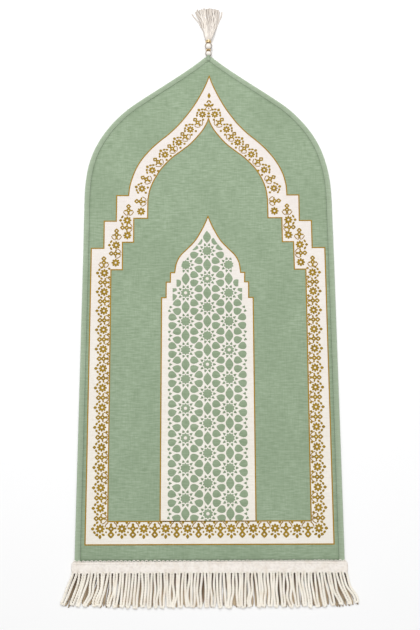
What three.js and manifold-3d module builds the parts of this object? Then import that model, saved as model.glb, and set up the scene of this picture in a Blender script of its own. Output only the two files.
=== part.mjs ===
// A flat, arch-topped prayer rug: a cloth body bound along its sides and arch, a knotted fringe
// across its foot, and a beaded tassel on a small tab at the arch's tip.
// Millimetres. X runs across the rug, Y along it from the foot to the tip, Z up from the floor.

import * as THREE from 'three';
import { mergeGeometries, mergeVertices } from 'three/addons/utils/BufferGeometryUtils.js';
import Module from 'manifold-3d';

const wasm = await Module();
wasm.setup();

// ---------- Driving dimensions ----------

const GAP = 0.3; // clearance between neighbouring pieces

const CLOTH = { thickness: 4, marginLow: 1.3, marginHigh: 2.9 }; // the margin is what the binding grips

// The right-hand edge of the rug, from its foot at y = 0: a nearly straight side up to the spring of
// the arch, a round shoulder, and a flank that runs to a blunt tip. A pull is the length of a Bezier
// handle; slopes are in degrees from the X axis.
const SIDE = { footX: 302, springX: 296.5, springY: 830 };
const SHOULDER = { lowerPull: 84.5, upperPull: 132.5, endX: 197, endY: 1093.3, endSlope: 42 };
const FLANK = { lowerPull: 41.4, upperPull: 66, endX: 9.2, endY: 1232.6, endSlope: 42.2 };
const TIP_Y = 1233;

const BINDING = { width: 12.5, wall: 2.7, legLow: 1.0, legHigh: 3.2, crown: 5.2 };
const MARGIN_INSET = BINDING.wall + GAP; // how far the gripped margin stays inside the bound edge

const HEADING = { halfWidth: 309, depth: 24.7, thickness: 5.2, corner: 5, bevel: 0.8, slotDepth: 8 };

const FRINGE = {
  strands: 88,
  length: 79,
  width: 4.9,
  height: 3.4,
  rootInset: 4, // how far a strand's root lies inside the heading
  endInset: 5, // from the heading's end to the outermost strand's middle
  splay: 24, // how far the outermost tips lean outwards
  pairing: 0.6, // how far each strand leans on its partner, so that they lie in pairs
  sway: 0.7, // sideways waver, small enough for the strands to stay apart
  steps: 6,
};

const TAB = { width: 12, thickness: 2.6, startY: 1222, endY: 1233.2, startZ: BINDING.crown + GAP, endZ: 6.6 };

// The threaded pieces lie in a row along Y, each resting as low as its neighbours let it.
const CUP = { length: 2.5, smallRadius: 3.6, largeRadius: 5.6 };
const SMALL_BEAD = { radius: 8.2, halfLength: 6.2 };
const SPACER = { length: 4.6, rimRadius: 4.6, ridgeRadius: 5.8 };
const LARGE_BEAD = { radius: 9.2, halfLength: 7.8 };
const COLLAR = { length: 6, base: 1.2, wall: 0.8, smallRadius: 6.4, largeRadius: 7.4 };
const ROUND_STEPS = 24;

const TASSEL = {
  headRadius: 5.9,
  gather: 24, // from the collar's base to where the strands part
  gatherHalfWidth: 11.2,
  gatherLow: 2.4,
  gatherHigh: 13.9,
  settle: 52, // distance from the collar at which the strands have come down to lie flat
  rootInset: 4,
  steps: 5,
  sides: 10,
};
const STRAND_HEIGHT = 3.2;
// One row for each layer of the tassel's strands: how many, the fan's half angle in degrees, the
// length of the middle strand from the collar, how much shorter the outermost is, and the height of
// the layer's underside where the strands part and where they lie flat.
const TASSEL_LAYERS = [
  { count: 11, halfAngle: 21, length: 93, shortening: 8, partZ: 2.8, flatZ: 0 },
  { count: 10, halfAngle: 19, length: 90, shortening: 7, partZ: 6.4, flatZ: 3.5 },
  { count: 7, halfAngle: 13, length: 84, shortening: 5, partZ: 10.0, flatZ: 7.0 },
];
// The two stray strands outside the fan: their angle where they leave the gather and at the tip.
const STRAY = { rootAngle: 25, tipAngle: 27.5, length: 86 };

// ---------- Materials ----------

const sage = { color: 0x9bae91, roughness: 0.95, metalness: 0 };
const sageBinding = { color: 0xaabf9d, roughness: 0.95, metalness: 0 };
const cotton = { color: 0xebe2d5, roughness: 0.95, metalness: 0 };
const pearl = { color: 0xf1ece4, roughness: 0.25, metalness: 0 };
const brass = { color: 0xb8903f, roughness: 0.35, metalness: 1 };

function piece(name, geometry, look) {
  const mesh = new THREE.Mesh(geometry, new THREE.MeshStandardMaterial(look));
  mesh.name = name;
  return mesh;
}

// ---------- Geometry helpers ----------

function signedVolume(geometry) {
  const { position } = geometry.attributes;
  const [a, b, c] = [new THREE.Vector3(), new THREE.Vector3(), new THREE.Vector3()];
  let volume = 0;
  for (let i = 0; i < geometry.index.count; i += 3) {
    a.fromBufferAttribute(position, geometry.index.getX(i));
    b.fromBufferAttribute(position, geometry.index.getX(i + 1));
    c.fromBufferAttribute(position, geometry.index.getX(i + 2));
    volume += a.dot(b.cross(c)) / 6;
  }
  return volume;
}

// Keeps only merged positions, and turns the faces outwards if they point in.
function closed(geometry) {
  geometry.deleteAttribute('normal');
  geometry.deleteAttribute('uv');
  const merged = mergeVertices(geometry, 1e-4);
  if (signedVolume(merged) < 0) {
    merged.index.array.reverse();
  }
  return merged;
}

// Joins rings of equal count into a closed tube; section is the ring's own outline, for the caps.
function loft(rings, section) {
  const count = section.length;
  const index = [];
  for (let ring = 0; ring < rings.length - 1; ring++) {
    for (let i = 0; i < count; i++) {
      const a = ring * count + i;
      const b = ring * count + ((i + 1) % count);
      index.push(a, b, b + count, a, b + count, a + count);
    }
  }
  const last = (rings.length - 1) * count;
  for (const [a, b, c] of THREE.ShapeUtils.triangulateShape(section, [])) {
    index.push(c, b, a, last + a, last + b, last + c);
  }
  const geometry = new THREE.BufferGeometry().setFromPoints(rings.flat());
  geometry.setIndex(index);
  return closed(geometry);
}

function plate(points, lowZ, highZ) {
  const geometry = new THREE.ExtrudeGeometry(new THREE.Shape(points), {
    depth: highZ - lowZ,
    bevelEnabled: false,
  });
  return closed(geometry.translate(0, 0, lowZ));
}

function toManifold(geometry) {
  const vertProperties = new Float32Array(geometry.attributes.position.array);
  const triVerts = new Uint32Array(geometry.index.array);
  return new wasm.Manifold(new wasm.Mesh({ numProp: 3, vertProperties, triVerts }));
}

function fromManifold(manifold) {
  const mesh = manifold.getMesh();
  const geometry = new THREE.BufferGeometry();
  geometry.setAttribute('position', new THREE.BufferAttribute(mesh.vertProperties, 3));
  geometry.setIndex(new THREE.BufferAttribute(mesh.triVerts, 1));
  return geometry;
}

// ---------- The bound edge ----------

// A point a pull away from (x, y) along a slope; direction +1 is on towards the tip, -1 is back.
function handle(x, y, slope, pull, direction) {
  const angle = THREE.MathUtils.degToRad(slope);
  return new THREE.Vector2(
    x - direction * pull * Math.cos(angle),
    y + direction * pull * Math.sin(angle),
  );
}

// Stations up the rug's right-hand edge: each has its point and the way in across the binding.
function edgeStations() {
  const shoulder = new THREE.CubicBezierCurve(
    new THREE.Vector2(SIDE.springX, SIDE.springY),
    new THREE.Vector2(SIDE.springX, SIDE.springY + SHOULDER.lowerPull),
    handle(SHOULDER.endX, SHOULDER.endY, SHOULDER.endSlope, SHOULDER.upperPull, -1),
    new THREE.Vector2(SHOULDER.endX, SHOULDER.endY),
  );
  const flank = new THREE.CubicBezierCurve(
    new THREE.Vector2(SHOULDER.endX, SHOULDER.endY),
    handle(SHOULDER.endX, SHOULDER.endY, SHOULDER.endSlope, FLANK.lowerPull, 1),
    handle(FLANK.endX, FLANK.endY, FLANK.endSlope, FLANK.upperPull, -1),
    new THREE.Vector2(FLANK.endX, FLANK.endY),
  );
  const points = [
    new THREE.Vector2(SIDE.footX, 0),
    ...shoulder.getSpacedPoints(16),
    ...flank.getSpacedPoints(9).slice(1),
  ];
  const inward = points.map((point, i) => {
    const before = points[Math.max(i - 1, 0)];
    const after = points[Math.min(i + 1, points.length - 1)];
    const along = after.clone().sub(before).normalize();
    return new THREE.Vector2(-along.y, along.x);
  });
  inward[0].set(-1, 0);
  const stations = points.map((point, i) => ({ point, inward: inward[i] }));
  // The last station lies on the mitre, level with where the binding's inner edge arrives.
  const corner = stations[stations.length - 1];
  const innerX = corner.point.x + BINDING.width * corner.inward.x;
  const innerY = corner.point.y + BINDING.width * corner.inward.y;
  const rise = (innerX - GAP / 2) * Math.tan(THREE.MathUtils.degToRad(FLANK.endSlope));
  const mitreScale = (TIP_Y - innerY - rise) / BINDING.width;
  stations.push({
    point: new THREE.Vector2(GAP / 2, TIP_Y),
    inward: new THREE.Vector2(0, -mitreScale),
  });
  return stations;
}

const STATIONS = edgeStations();

// The rug's outline at a distance inside its bound edge, with its foot at footY.
function outline(inset, footY) {
  const right = STATIONS.map(({ point, inward }) => point.clone().addScaledVector(inward, inset));
  right[0].y = footY;
  const left = right.map((point) => new THREE.Vector2(-point.x, point.y)).reverse();
  return [...right, ...left];
}

function rugBody() {
  const slab = toManifold(plate(outline(BINDING.width + GAP, 0), 0, CLOTH.thickness));
  const margin = plate(
    outline(MARGIN_INSET, -HEADING.slotDepth),
    CLOTH.marginLow,
    CLOTH.marginHigh,
  );
  return piece('rug_body', fromManifold(slab.add(toManifold(margin))), sage);
}

// A strip folded round the rug's margin; in its section x is the distance in from the edge.
function binding(name, side) {
  const { width, wall, legLow, legHigh, crown } = BINDING;
  const section = [
    [0, 1.4], [0.8, 0.3], [2.5, 0], [width, 0], [width, legLow], [wall, legLow], [wall, legHigh],
    [width, legHigh], [width, 3.7], [width - 1.6, 4.7], [8, crown], [4.2, 5], [1.3, 4.2], [0, 2.8],
  ].map(([x, z]) => new THREE.Vector2(x, z));
  const rings = STATIONS.map(({ point, inward }) =>
    section.map(({ x: inset, y: z }) => {
      const across = point.clone().addScaledVector(inward, inset);
      return new THREE.Vector3(side * across.x, across.y, z);
    }),
  );
  return piece(name, loft(rings, section), sageBinding);
}

// ---------- Strands of yarn ----------

// A four-sided strand with a flat underside. place(t) gives its middle and the height of its
// underside, size(t) its width and height, for t from 0 at the root to 1 at the tip.
function strand(steps, place, size) {
  const at = (t) => {
    const { width, height } = size(t);
    const here = place(t);
    const ahead = place(t + 0.01);
    const across = new THREE.Vector2(here.y - ahead.y, ahead.x - here.x).normalize();
    return [[-0.5, 0], [0.5, 0], [0.32, 1], [-0.32, 1]].map(([side, up]) =>
      new THREE.Vector3(
        here.x + across.x * side * width,
        here.y + across.y * side * width,
        here.z + up * height,
      ),
    );
  };
  const rings = Array.from({ length: steps + 1 }, (_, i) => at(i / steps));
  const section = [[-0.5, 0], [0.5, 0], [0.32, 1], [-0.32, 1]].map(([x, y]) => new THREE.Vector2(x, y));
  return loft(rings, section);
}

// ---------- Fringe ----------

function heading() {
  const { halfWidth, depth, thickness, corner, bevel, slotDepth } = HEADING;
  const [right, low, high] = [halfWidth - bevel, -GAP - depth + bevel, -GAP - bevel];
  const shape = new THREE.Shape();
  shape.moveTo(-right + corner, low);
  shape.lineTo(right - corner, low);
  shape.quadraticCurveTo(right, low, right, low + corner);
  shape.lineTo(right, high - corner);
  shape.quadraticCurveTo(right, high, right - corner, high);
  shape.lineTo(-right + corner, high);
  shape.quadraticCurveTo(-right, high, -right, high - corner);
  shape.lineTo(-right, low + corner);
  shape.quadraticCurveTo(-right, low, -right + corner, low);
  const block = new THREE.ExtrudeGeometry(shape, {
    depth: thickness - 2 * bevel,
    bevelThickness: bevel,
    bevelSize: bevel,
    bevelSegments: 2,
    curveSegments: 3,
  });
  const slot = new THREE.BoxGeometry(
    2 * (SIDE.footX - MARGIN_INSET + GAP),
    2 * (slotDepth + GAP),
    CLOTH.marginHigh - CLOTH.marginLow + 2 * GAP,
  );
  slot.translate(0, 0, (CLOTH.marginLow + CLOTH.marginHigh) / 2);
  return toManifold(closed(block.translate(0, 0, bevel))).subtract(toManifold(closed(slot)));
}

function fringe() {
  const { strands, length, width, height, rootInset, endInset, splay, pairing, sway, steps } = FRINGE;
  const headingLow = -GAP - HEADING.depth;
  const outermost = HEADING.halfWidth - endInset;
  const all = [];
  for (let i = 0; i < strands; i++) {
    const across = (2 * i) / (strands - 1) - 1;
    const lean = splay * across ** 3;
    const drop = Math.sqrt(length ** 2 - lean ** 2) + 1.6 * Math.sin(2.4 * i);
    const rootX = outermost * across + (i % 2 === 0 ? pairing : -pairing);
    const place = (t) => ({
      x: rootX + lean * t ** 1.3 + sway * Math.sin(2 * Math.PI * t + 0.3 * i) * t,
      y: headingLow + rootInset - (drop + rootInset) * t,
      z: 0,
    });
    const size = (t) => ({ width: width * (1 - 0.25 * t ** 4), height: height * (1 - 0.2 * t) });
    all.push(strand(steps, place, size));
  }
  const joined = heading().add(toManifold(mergeGeometries(all)));
  return piece('fringe', fromManifold(joined), cotton);
}

// ---------- Tab, beads and caps at the tip ----------

// A little folded tab of the binding's cloth, rising from the mitre to the first cup.
function tab() {
  const { width, thickness, startY, endY, startZ, endZ } = TAB;
  const rows = [
    { y: startY, z: startZ, half: 0.3 * width },
    { y: startY + 4, z: startZ, half: 0.5 * width },
    { y: endY - 3, z: startZ + 0.4 * (endZ - startZ), half: 0.5 * width },
    { y: endY, z: endZ, half: 0.38 * width },
  ];
  const section = [[-1, 0], [1, 0], [1, 0.6], [0.7, 1], [-0.7, 1], [-1, 0.6]];
  const rings = rows.map(({ y, z, half }) =>
    section.map(([x, up]) => new THREE.Vector3(x * half, y, z + up * thickness)),
  );
  return piece('hanging_tab', loft(rings, section.map(([x, y]) => new THREE.Vector2(x, y))), sageBinding);
}

// A turned piece along Y, from rows of [radius, distance along Y].
function turned(name, rows, y, z, look) {
  const profile = rows.map(([radius, along]) => new THREE.Vector2(radius, along));
  const mesh = piece(name, closed(new THREE.LatheGeometry(profile, ROUND_STEPS)), look);
  mesh.position.set(0, y, z);
  return mesh;
}

function bead(name, { radius, halfLength }, y, z) {
  const steps = 10;
  const rows = [[0, -halfLength]];
  for (let i = 0; i <= steps; i++) {
    const along = halfLength * Math.sin((i / steps - 0.5) * Math.PI);
    rows.push([Math.sqrt(radius ** 2 - along ** 2), along]);
  }
  rows.push([0, halfLength]);
  return turned(name, rows, y, z, pearl);
}

function threadedPieces() {
  const cupY = TAB.endY + GAP;
  const smallY = cupY + CUP.length + GAP + SMALL_BEAD.halfLength;
  const spacerY = smallY + SMALL_BEAD.halfLength + GAP;
  const largeY = spacerY + SPACER.length + GAP + LARGE_BEAD.halfLength;
  const collarY = largeY + LARGE_BEAD.halfLength + GAP;
  const betweenZ = (SMALL_BEAD.radius + LARGE_BEAD.radius) / 2;
  const cup = [[0, 0], [CUP.smallRadius, 0], [CUP.largeRadius, CUP.length], [0, CUP.length]];
  const spacer = [
    [0, 0],
    [SPACER.rimRadius, 0],
    [SPACER.ridgeRadius, 0.35 * SPACER.length],
    [SPACER.ridgeRadius, 0.65 * SPACER.length],
    [SPACER.rimRadius, SPACER.length],
    [0, SPACER.length],
  ];
  const collar = [
    [0, 0],
    [COLLAR.smallRadius, 0],
    [COLLAR.largeRadius, COLLAR.base],
    [COLLAR.largeRadius, COLLAR.length],
    [COLLAR.largeRadius - COLLAR.wall, COLLAR.length],
    [COLLAR.largeRadius - COLLAR.wall, COLLAR.base],
    [0, COLLAR.base],
  ];
  return [
    turned('tip_cup', cup, cupY, SMALL_BEAD.radius, brass),
    bead('small_bead', SMALL_BEAD, smallY, SMALL_BEAD.radius),
    turned('bead_spacer', spacer, spacerY, betweenZ, brass),
    bead('large_bead', LARGE_BEAD, largeY, LARGE_BEAD.radius),
    turned('tassel_collar', collar, collarY, LARGE_BEAD.radius, brass),
    tassel(collarY + COLLAR.base + GAP, LARGE_BEAD.radius),
  ];
}

// ---------- Tassel ----------

// The bound head and the gathered roots: round in the collar, then a flattened fan.
function gather(axisZ) {
  const { headRadius, gatherHalfWidth, gatherLow, gatherHigh, sides } = TASSEL;
  const round = { half: headRadius, low: axisZ - headRadius, high: axisZ + headRadius };
  const fan = { half: gatherHalfWidth, low: gatherLow, high: gatherHigh };
  const rows = [
    { y: 0, blend: 0 },
    { y: COLLAR.length - COLLAR.base, blend: 0 },
    { y: 0.55 * TASSEL.gather, blend: 0.45 },
    { y: TASSEL.gather, blend: 1 },
  ];
  const turn = Array.from({ length: sides }, (_, i) => (2 * Math.PI * (i + 0.5)) / sides);
  const section = turn.map((angle) => new THREE.Vector2(Math.cos(angle), Math.sin(angle)));
  const rings = rows.map(({ y, blend }) => {
    const half = THREE.MathUtils.lerp(round.half, fan.half, blend);
    const low = THREE.MathUtils.lerp(round.low, fan.low, blend);
    const high = THREE.MathUtils.lerp(round.high, fan.high, blend);
    return section.map(
      (p) => new THREE.Vector3(p.x * half, y, (low + high) / 2 + (p.y * (high - low)) / 2),
    );
  });
  return toManifold(loft(rings, section));
}

// One strand of the fan, from a root inside the gather to its tip.
function fanStrand(rootAngle, tipAngle, length, partZ, flatZ) {
  const start = TASSEL.gather - TASSEL.rootInset;
  const reach = (t) => start + (length - start) * t;
  const place = (t) => {
    const angle = THREE.MathUtils.degToRad(THREE.MathUtils.lerp(rootAngle, tipAngle, t));
    const settled = THREE.MathUtils.smoothstep(reach(t), TASSEL.gather, TASSEL.settle);
    return {
      x: reach(t) * Math.sin(angle),
      y: reach(t) * Math.cos(angle),
      z: THREE.MathUtils.lerp(partZ, flatZ, settled),
    };
  };
  const size = (t) => ({
    width: Math.min(4.4, 0.058 * reach(t)),
    height: STRAND_HEIGHT,
  });
  return strand(TASSEL.steps, place, size);
}

function tassel(y, axisZ) {
  const strands = [];
  for (const { count, halfAngle, length, shortening, partZ, flatZ } of TASSEL_LAYERS) {
    for (let i = 0; i < count; i++) {
      const across = (2 * i) / (count - 1) - 1;
      const angle = halfAngle * across;
      const reach = length - shortening * across ** 2 - 1.5 * Math.sin(3 * i) ** 2;
      strands.push(fanStrand(angle, angle, reach, partZ, flatZ));
    }
  }
  const [lowest] = TASSEL_LAYERS;
  for (const side of [-1, 1]) {
    strands.push(
      fanStrand(side * STRAY.rootAngle, side * STRAY.tipAngle, STRAY.length, lowest.partZ, lowest.flatZ),
    );
  }
  const joined = gather(axisZ).add(toManifold(mergeGeometries(strands)));
  const mesh = piece('tassel', fromManifold(joined), cotton);
  mesh.position.y = y;
  return mesh;
}

// ---------- The rug ----------

const rug = new THREE.Group();
rug.add(
  rugBody(),
  binding('binding_left', -1),
  binding('binding_right', 1),
  fringe(),
  tab(),
  ...threadedPieces(),
);

// The origin goes to the middle of the whole rug's box, on the floor.
const middle = new THREE.Box3().setFromObject(rug).getCenter(new THREE.Vector3());
rug.position.set(-middle.x, -middle.y, 0);

const object = new THREE.Group();
object.add(rug);

export default object;
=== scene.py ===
"""The prayer rug's looks: cloth, bindings, woven pattern, fringe, beads and tassel, round the CAD part.

Sizes are in millimetres in the rug's own frame: X across, Y from the cloth's foot to the tip, Z up
from the floor. MeshMaker.build() turns them into metres in the CAD frame.
"""

import math

import bpy
import numpy as np
from mathutils import Matrix, Vector
from mathutils.geometry import delaunay_2d_cdt


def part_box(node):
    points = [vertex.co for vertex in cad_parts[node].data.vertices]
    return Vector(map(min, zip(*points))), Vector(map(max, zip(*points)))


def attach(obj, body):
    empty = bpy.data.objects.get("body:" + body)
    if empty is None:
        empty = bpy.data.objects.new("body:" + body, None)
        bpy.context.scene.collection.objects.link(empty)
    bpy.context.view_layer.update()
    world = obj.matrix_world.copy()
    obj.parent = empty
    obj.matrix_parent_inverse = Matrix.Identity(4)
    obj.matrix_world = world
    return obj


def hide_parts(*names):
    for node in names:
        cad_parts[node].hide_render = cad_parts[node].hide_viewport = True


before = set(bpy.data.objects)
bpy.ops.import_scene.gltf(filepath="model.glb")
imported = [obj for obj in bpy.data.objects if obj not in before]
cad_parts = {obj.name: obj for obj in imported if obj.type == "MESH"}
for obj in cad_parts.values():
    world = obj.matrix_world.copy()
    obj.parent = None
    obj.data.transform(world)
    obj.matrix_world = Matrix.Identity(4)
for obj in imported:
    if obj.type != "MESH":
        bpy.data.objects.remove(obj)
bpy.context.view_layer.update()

MM = 0.001
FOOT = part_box("binding_left")[0].y / MM  # where the cloth's foot lies in the CAD frame
RANDOM_SEED = 11
rng = np.random.default_rng(RANDOM_SEED)

# ---------- Sizes shared with the CAD part ----------

SIDE_FOOT_X, SPRING_X, SPRING_Y = 302, 296.5, 830
SHOULDER_LOWER_PULL, SHOULDER_UPPER_PULL, SHOULDER_END, SHOULDER_SLOPE = 84.5, 132.5, (197, 1093.3), 42
FLANK_LOWER_PULL, FLANK_UPPER_PULL, FLANK_END, FLANK_SLOPE = 41.4, 66, (9.2, 1232.6), 42.2
TIP_Y = 1233
BINDING_WIDTH, GAP = 12.5, 0.3
CLOTH_THICKNESS = 4
CLOTH_FOOT = -1.6
HEADING_HALF_WIDTH = 309
FRINGE_LENGTH, FRINGE_SPLAY = 79, 24
TAB_START, TAB_VISIBLE_END = 1222, 1235.0

# How far to the right the rug lies from a straight line, up its length, in millimetres.
LIE_Y = (-110, 700, 860, 960, 1060, 1130, 1190, 1400)
LIE_X = (0, 0, -0.8, -1.8, -0.6, 1.0, 1.6, 1.5)

# ---------- Geometry helpers ----------


class MeshMaker:
    """Gathers points, faces and a painted shade per point, then makes one piece of them."""

    def __init__(self):
        self.points, self.faces, self.shades, self.count = [], [], [], 0

    def add(self, points, faces, shade=0.0):
        points = np.asarray(points, float).reshape(-1, 3)
        self.points.append(points)
        self.shades.append(np.broadcast_to(np.asarray(shade, float), len(points)))
        self.faces.extend([tuple(int(i) + self.count for i in face) for face in faces])
        self.count += len(points)

    def build(self, name, material, smooth_angle=None):
        points = np.concatenate(self.points)
        points[:, 0] += np.interp(points[:, 1], LIE_Y, LIE_X)
        placed = (points + (0, FOOT, 0)) * MM
        mesh = bpy.data.meshes.new(name)
        mesh.from_pydata(placed.tolist(), [], self.faces)
        mesh.attributes.new("shade", "FLOAT", "POINT").data.foreach_set(
            "value", np.concatenate(self.shades).astype(np.float32)
        )
        mesh.polygons.foreach_set("use_smooth", [True] * len(mesh.polygons))
        mesh.update()
        mesh.materials.append(material)
        piece = bpy.data.objects.new(name, mesh)
        bpy.context.scene.collection.objects.link(piece)
        if smooth_angle is not None:
            mesh.set_sharp_from_angle(angle=math.radians(smooth_angle))
        return piece


def any_phase():
    """A random angle, in radians."""
    return rng.uniform(0, 6.28)


def unit(vectors):
    """The same directions, each with length 1."""
    return vectors / np.maximum(np.linalg.norm(vectors, axis=1), 1e-9)[:, None]


def cos_sin(degrees):
    return math.cos(math.radians(degrees)), math.sin(math.radians(degrees))


def circle(sides):
    """The cosines and the sines of evenly spaced angles."""
    turn = 2 * np.pi * np.arange(sides) / sides
    return np.cos(turn), np.sin(turn)


def lengths(path):
    """How far along a path each of its points lies."""
    return np.concatenate([[0], np.cumsum(np.linalg.norm(np.diff(path, axis=0), axis=1))])


def smoothstep(value, low, high):
    """0 at low and 1 at high, which may be the smaller of the two."""
    t = np.clip((value - low) / (high - low), 0, 1)
    return t * t * (3 - 2 * t)


def quads(rows, columns, closed=True, flip=False):
    """The faces between rows of points; each row is a ring if closed, and flip turns the faces over."""
    faces = []
    for start in range(0, (rows - 1) * columns, columns):
        for i in range(columns if closed else columns - 1):
            a, b = start + i, start + (i + 1) % columns
            c, d = b + columns, a + columns
            faces.append((a, d, c, b) if flip else (a, b, c, d))
    return faces


def closed_faces(rows, sides, flip=False):
    """The faces between rings of points, and over the first and the last ring."""
    first = list(range(sides))
    last = [(rows - 1) * sides + k for k in first]
    return quads(rows, sides, True, flip) + ([first, last[::-1]] if flip else [first[::-1], last])


def bezier(p0, p1, p2, p3, steps):
    t = np.linspace(0, 1, steps + 1)[:, None]
    p0, p1, p2, p3 = map(np.array, (p0, p1, p2, p3))
    return (1 - t) ** 3 * p0 + 3 * (1 - t) ** 2 * t * p1 + 3 * (1 - t) * t**2 * p2 + t**3 * p3


def through(points, steps=6):
    """A smooth curve through points (Catmull-Rom)."""
    p = np.array(points, float)
    p = np.vstack([2 * p[0] - p[1], p, 2 * p[-1] - p[-2]])
    t = np.linspace(0, 1, steps, endpoint=False)[:, None]
    spans = [
        0.5
        * (
            2 * b
            + (c - a) * t
            + (2 * a - 5 * b + 4 * c - d) * t**2
            + (3 * b - a - 3 * c + d) * t**3
        )
        for a, b, c, d in zip(p, p[1:], p[2:], p[3:])
    ]
    return np.vstack([*spans, p[-2:-1]])


def resampled(path, spacing, closed=False):
    """The same path, keeping its corners, with no step longer than spacing."""
    path = np.asarray(path, float)
    ends = np.roll(path, -1, axis=0) if closed else path[1:]
    out = []
    for start, end in zip(path, ends):
        steps = max(1, math.ceil(np.linalg.norm(end - start) / spacing))
        out.extend(start + (end - start) * k / steps for k in range(steps))
    if not closed:
        out.append(path[-1])
    return np.array(out)


def mirrored(half):
    """A closed loop from its right half, which runs from the tip down to the foot."""
    half = np.asarray(half, float)
    left = half[::-1] * (-1, 1)
    joined = np.vstack([half, left])
    keep = np.linalg.norm(joined - np.roll(joined, 1, axis=0), axis=1) > 1e-6
    return joined[keep]


def inside(loops, points):
    """Which points lie inside an odd number of the loops."""
    x, y = points[:, 0], points[:, 1]
    flags = np.zeros(len(points), bool)
    for loop in loops:
        for (ax, ay), (bx, by) in zip(loop, np.roll(loop, -1, axis=0)):
            if ay != by:
                crosses = (ay > y) != (by > y)
                flags ^= crosses & (x < ax + (y - ay) * (bx - ax) / (by - ay))
    return flags


def distance_to(loops, points):
    """The distance of each point from the nearest of the loops' edges."""
    best = np.full(len(points), 1e9)
    for loop in loops:
        for a, b in zip(loop, np.roll(loop, -1, axis=0)):
            along = b - a
            t = np.clip(((points - a) @ along) / max(along @ along, 1e-12), 0, 1)
            best = np.minimum(best, np.linalg.norm(points - a - t[:, None] * along, axis=1))
    return best


def triangulated(loops, extra, keep):
    """Points and counter-clockwise triangles over the loops' edges and extra points."""
    flat, edges = [], []
    for loop in loops:
        first = len(flat)
        flat.extend(loop)
        edges.extend((first + i, first + (i + 1) % len(loop)) for i in range(len(loop)))
    flat.extend(extra)
    made, _, faces, *_ = delaunay_2d_cdt([Vector(p) for p in flat], edges, [], 0, 1e-5)
    points, faces = np.array(made), np.array(faces)
    a, b, c = points[faces[:, 0]], points[faces[:, 1]], points[faces[:, 2]]
    turn = (b[:, 0] - a[:, 0]) * (c[:, 1] - a[:, 1]) - (b[:, 1] - a[:, 1]) * (c[:, 0] - a[:, 0])
    faces[turn < 0] = faces[turn < 0][:, ::-1]
    good = keep((a + b + c) / 3) & (np.abs(turn) > 1e-6)
    used = np.unique(faces[good])
    renumber = np.zeros(len(points), int)
    renumber[used] = np.arange(len(used))
    return points[used], renumber[faces[good]]


def grid_points(loops, spacing):
    """Points spaced evenly inside the loops and clear of their edges."""
    every = np.vstack(loops)
    (x0, y0), (x1, y1) = every.min(0), every.max(0)
    rows = np.arange(y0, y1, spacing * 0.87)
    grid = [
        (x, y)
        for k, y in enumerate(rows)
        for x in np.arange(x0 + spacing * (k % 2) / 2, x1, spacing)
    ]
    grid = np.array(grid) if grid else np.zeros((0, 2))
    grid = grid[inside(loops, grid)]
    return grid[distance_to(loops, grid) > 0.35 * spacing]


def rim_edges(faces):
    """The directed edges that belong to one face only."""
    edges = {(int(a), int(b)) for f in faces for a, b in zip(f, np.roll(f, -1))}
    return [edge for edge in edges if edge[::-1] not in edges]


def slab(maker, points, height, faces, shade):
    """A solid that stands on the floor, with faces on top whose points have the given heights."""
    count = len(points)
    under = [tuple(i + count for i in face[::-1]) for face in faces]
    walls = [(b, a, a + count, b + count) for a, b in rim_edges(faces)]
    top, low = np.column_stack([points, height]), np.column_stack([points, np.zeros(count)])
    maker.add(np.vstack([top, low]), [*faces, *under, *walls], np.tile(shade, 2))


def cloth_height(points):
    """The height of the cloth's upper face, which has slow waves of a few tenths of a millimetre."""
    x, y = points[:, 0], points[:, 1]
    return (
        CLOTH_THICKNESS
        + 0.22 * np.sin(x / 61 + 1.1) * np.sin(y / 83)
        + 0.16 * np.sin((x + 0.7 * y) / 47 + 2)
        + 0.10 * np.sin((x - 1.3 * y) / 38)
    )


def on_cloth(maker, points, faces, lift, drop, shade=0.0):
    """Lays flat faces on the cloth, lifted above it, with walls down into it round their rim."""
    points, faces = np.asarray(points, float), [tuple(f) for f in faces]
    ground = cloth_height(points)
    top = np.column_stack([points, ground + lift])
    rim = rim_edges(faces)
    rim_points = sorted({i for edge in rim for i in edge})
    below = {i: len(points) + k for k, i in enumerate(rim_points)}
    low = np.column_stack([points[rim_points], ground[rim_points] + np.min(lift) - drop])
    walls = [(b, a, below[a], below[b]) for a, b in rim]
    shade = np.broadcast_to(np.asarray(shade, float), len(points))
    maker.add(np.vstack([top, low]), faces + walls, np.concatenate([shade, shade[rim_points]]))


def mitres(path, closed, least):
    """The way to the left at each point of a path, lengthened at its corners, by 1 / least at most."""
    if closed:
        before, after = np.roll(path, 1, axis=0), np.roll(path, -1, axis=0)
    else:
        before, after = np.vstack([path[:1], path[:-1]]), np.vstack([path[1:], path[-1:]])
    into, out = path - before, after - path
    if not closed:
        into[0], out[-1] = out[0], into[-1]
    into = unit(into)
    mitre = unit(into + unit(out))
    stretch = 1 / np.maximum((mitre * into).sum(1), least)
    return np.column_stack([-mitre[:, 1], mitre[:, 0]]) * stretch[:, None]


# A low dome with its edges just in the cloth: across, and up.
RIBBON_SECTION = [(-0.5, -0.4), (-0.46, 0.35), (-0.2, 1), (0.2, 1), (0.46, 0.35), (0.5, -0.4)]


def ribbon(maker, path, width, lift, crown, closed=False, spacing=8):
    """A low domed strip along a path on the cloth, mitred at its corners."""
    path = resampled(path, spacing, closed)
    normal = mitres(path, closed, 0.45)
    count, rows, rings = len(path), len(RIBBON_SECTION), []
    for across, up in RIBBON_SECTION:
        flat = path + normal * across * width
        z = cloth_height(flat) + (lift + crown * up if up > 0 else up * 0.5)
        rings.append(np.column_stack([flat, z]))
    faces = [(b, a, d, c) for a, b, c, d in quads(rows, count, closed)]
    if not closed:
        faces.append([r * count for r in range(rows)])
        faces.append([r * count + count - 1 for r in reversed(range(rows))])
    maker.add(np.vstack(rings), faces)


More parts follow.
